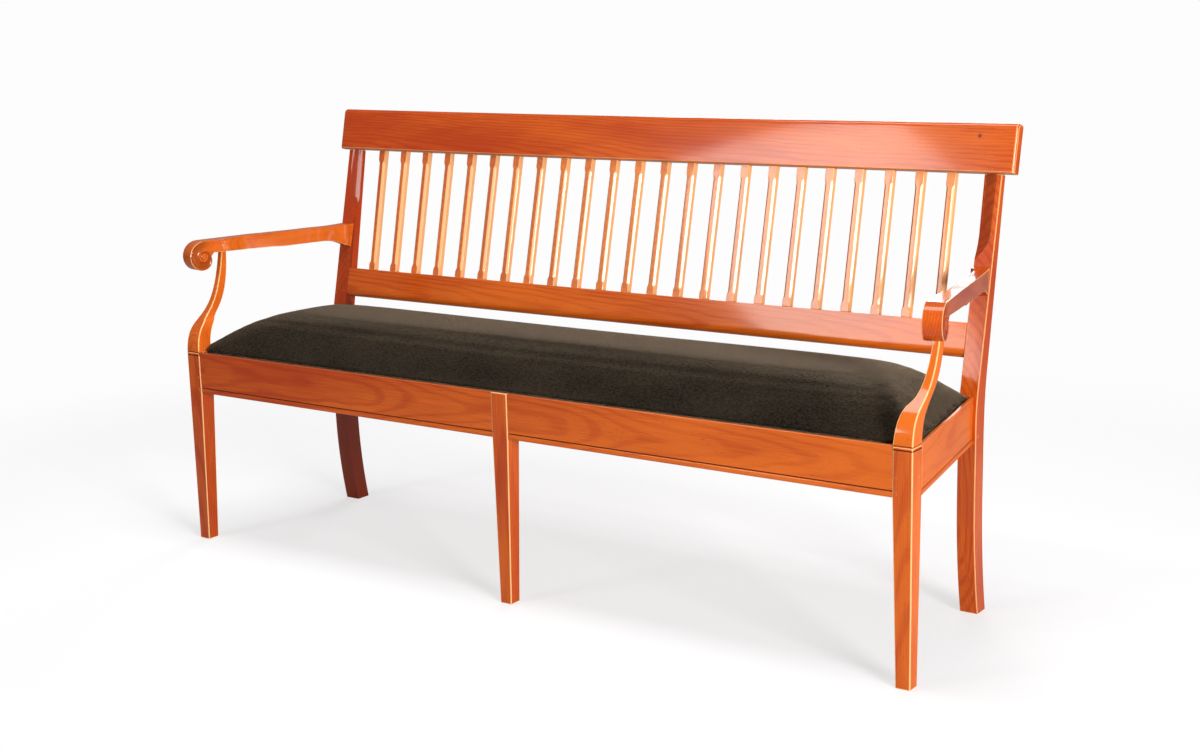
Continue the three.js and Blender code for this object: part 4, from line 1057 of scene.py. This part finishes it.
fine.levels = fine.render_levels = 1
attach(cushion, "root")
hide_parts("seat_cushion")
print("cushion in place")

# %% [markdown]
# ## The board and its screws
#
# Under the velvet lies a plywood board, held by four screws that run up through the corner blocks.
# Plywood is thin veneers laid crosswise, so its edge is striped and its face shows long grain. The
# screws are plain steel with a slot across the head.

# %% Plywood and steel
LAYER = 1.5 * MM
BIRCH = (0.46, 0.30, 0.16, 1)
BIRCH_PALE = (0.66, 0.48, 0.29, 1)
BIRCH_RING = (0.38, 0.23, 0.11, 1)
GLUE_LINE = (0.30, 0.18, 0.09, 1)
STEEL_DULL = (0.42, 0.42, 0.43, 1)
STEEL_BRIGHT = (0.60, 0.60, 0.61, 1)

plywood, tree, surface = new_material("birch_plywood")
place = node(tree, "ShaderNodeTexCoord").outputs["Object"]
veneer = place_effect(tree, figure, {"Vector": place, "Ring Spacing": 0.014, "Wander": 0.08})
height = node(tree, "ShaderNodeSeparateXYZ", {0: place}).outputs["Z"]
layer = calc(tree, "PINGPONG", calc(tree, "DIVIDE", height, LAYER), 1.0)
colour = blend(tree, veneer["Drift"], BIRCH, BIRCH_PALE)
colour = blend(tree, calc(tree, "MULTIPLY", veneer["Rings"], 0.25), colour, BIRCH_RING)
colour = blend(tree, spread(tree, layer, 0.6, 0.9, 0.0, 0.35), colour, GLUE_LINE)
tree.links.new(colour, surface.inputs["Base Color"])
bump = node(tree, "ShaderNodeBump", {"Height": veneer["Fibre"], "Strength": 0.2, "Distance": 0.0004})
tree.links.new(bump.outputs[0], surface.inputs["Normal"])
surface.inputs["Roughness"].default_value = 0.62

steel, tree, surface = new_material("plain_steel")
place = node(tree, "ShaderNodeTexCoord").outputs["Object"]
turned = place_effect(tree, handling, {"Vector": place, "Size": 300.0})
colour = blend(tree, turned["Cloud"], STEEL_DULL, STEEL_BRIGHT)
tree.links.new(colour, surface.inputs["Base Color"])
tree.links.new(spread(tree, turned["Cloud"], 0.0, 1.0, 0.28, 0.45), surface.inputs["Roughness"])
surface.inputs["Metallic"].default_value = 1.0

bm = merged_copy("seat_board")
make_whole(bm)
bevel(bm, sharp_edges(bm), 0.6 * MM, 1)
for face in bm.faces:
    face.material_index = 1 if face.normal.z > -0.5 else 0
board = finished("seat_board_dressed", bm, plywood, "plywood", "seat_board")
board.data.materials.append(velvet)
print("board dressed")

# %% [markdown]
# A screw head is turned on a lathe and then slotted. The bmesh version does the same: two cuts with
# a plane mark the sides of the slot across the copied head, and the strip between them is pushed in.


# %% Screws
SLOT_HALF = 0.6 * MM
SLOT_DEPTH = 1.1 * MM


def slotted_screw(name):
    low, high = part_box(name)
    middle = (low + high) / 2
    bm = merged_copy(name)
    for side in (-1, 1):
        at = Vector((middle.x + side * SLOT_HALF, middle.y, low.z))
        geometry = [*bm.verts, *bm.edges, *bm.faces]
        bmesh.ops.bisect_plane(bm, geom=geometry, dist=1e-7, plane_co=at, plane_no=(1, 0, 0))
    strip = [
        face
        for face in bm.faces
        if face.normal.z < -0.9
        and abs(face.calc_center_median().x - middle.x) < SLOT_HALF
        and face.calc_center_median().z < low.z + 0.2 * MM
    ]
    made = bmesh.ops.extrude_face_region(bm, geom=strip)["geom"]
    bmesh.ops.delete(bm, geom=strip, context="FACES")
    deep = [part for part in made if isinstance(part, bmesh.types.BMVert)]
    bmesh.ops.translate(bm, vec=(0, 0, SLOT_DEPTH), verts=deep)
    bmesh.ops.recalc_face_normals(bm, faces=bm.faces)
    finished(name + "_slotted", bm, steel, "steel", name)


for name in [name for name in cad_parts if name.startswith("seat_screw")]:
    slotted_screw(name)
print("screws slotted")

# %% [markdown]
# ## Floor and light
#
# The bench stands on a pale seamless floor in front of a white background. The floor is a plain
# matt surface that also glows a little to the camera, so that it melts into the white behind it
# while it keeps the soft shadow under the seat. Polished wood shows that white surrounding too, but
# only a part of it, so that its colour stays deep. The world gives an even light from everywhere,
# and four large soft lamps shape the wood. One stands low to the right and makes the side faces
# glow. One stands to the front left and leans over, so that its image lies as a broad pink sheen on
# the right half of the crest, on the slats and on the rail below them. One hangs overhead, and a
# weaker one stands behind, so that the back of the bench is not left in the dark. None of them shows
# to the camera. Their images in the varnish do: seen from the front left, a lamp's image lies on the
# right half of the crest and turns it white, which dimmer or larger lamps would mend.

# %% Floor
MIRRORED = 0.16
FLOOR_GREY = (0.40, 0.40, 0.404, 1)
WHITE = (1, 1, 1, 1)
GLOW_NEAR = 0.60
GLOW_FAR = 0.98
FADE_FROM, FADE_TO = 1.4, 2.6


def seen_share(tree):
    rays = node(tree, "ShaderNodeLightPath").outputs
    mirrored = calc(tree, "MAXIMUM", rays["Is Glossy Ray"], rays["Is Transmission Ray"])
    return calc(tree, "MAXIMUM", rays["Is Camera Ray"], calc(tree, "MULTIPLY", mirrored, MIRRORED))


def glowing(tree, seen, strength):
    strength = calc(tree, "MULTIPLY", seen, strength)
    return node(tree, "ShaderNodeEmission", {"Color": WHITE, "Strength": strength})


bm = bmesh.new()
bmesh.ops.create_grid(bm, x_segments=8, y_segments=8, size=30.0)
floor = standing(bm, "floor")
pale, tree, surface = new_material("pale_floor")
tree.nodes.remove(surface)
seen = seen_share(tree)
matt = node(tree, "ShaderNodeBsdfDiffuse", {"Color": FLOOR_GREY})
glow = glowing(tree, seen, GLOW_NEAR)
both = node(tree, "ShaderNodeAddShader", {0: matt.outputs[0], 1: glow.outputs[0]})
place = node(tree, "ShaderNodeTexCoord").outputs["Object"]
away = node(tree, "ShaderNodeVectorMath", {0: place}, operation="LENGTH").outputs["Value"]
white = glowing(tree, seen, GLOW_FAR)
far = node(tree, "ShaderNodeMixShader", {0: seen, 1: matt.outputs[0], 2: white.outputs[0]})
floor_shade = node(
    tree,
    "ShaderNodeMixShader",
    {0: spread(tree, away, FADE_FROM, FADE_TO), 1: both.outputs[0], 2: far.outputs[0]},
)
tree.links.new(floor_shade.outputs[0], tree.nodes["Material Output"].inputs["Surface"])
floor.data.materials.append(pale)
print("floor laid")

# %% World and lamps
SKY_SEEN = 0.85
SKY_EVEN = 0.13

world = bpy.data.worlds.new("studio")
bpy.context.scene.world = world
world.use_nodes = True
tree = world.node_tree
tree.nodes.remove(tree.nodes["Background"])
level_here = calc(tree, "ADD", calc(tree, "MULTIPLY", seen_share(tree), SKY_SEEN), SKY_EVEN)
sky = node(tree, "ShaderNodeBackground", {"Color": WHITE, "Strength": level_here})
tree.links.new(sky.outputs[0], tree.nodes["World Output"].inputs["Surface"])


def soft_lamp(name, place, aim, width, height, power, lean=0):
    light = bpy.data.lights.new(name, "AREA")
    light.shape = "RECTANGLE"
    light.size, light.size_y = width, height
    light.energy = power
    lamp = bpy.data.objects.new(name, light)
    towards = (Vector(aim) - Vector(place)).to_track_quat("-Z", "Y").to_matrix().to_4x4()
    leaning = Matrix.Rotation(math.radians(lean), 4, "Z")
    lamp.matrix_world = Matrix.Translation(place) @ towards @ leaning
    lamp.visible_camera = False
    bpy.context.scene.collection.objects.link(lamp)
    print(f"lamp: {name}, {power} W")


soft_lamp("key_lamp", (5.3, -2.7, 1.3), (0.2, 0, 0.6), 1.6, 2.2, 450)
soft_lamp("sheen_lamp", (-2.1, -4.57, 2.05), (0.45, -0.17, 0.55), 0.96, 1.7, 54, lean=40)
soft_lamp("overhead_lamp", (0.0, -0.3, 3.4), (0, 0.1, 0), 2.4, 1.2, 70)
soft_lamp("back_lamp", (-1.6, 4.4, 2.2), (0, 0, 0.5), 2.4, 1.6, 80)
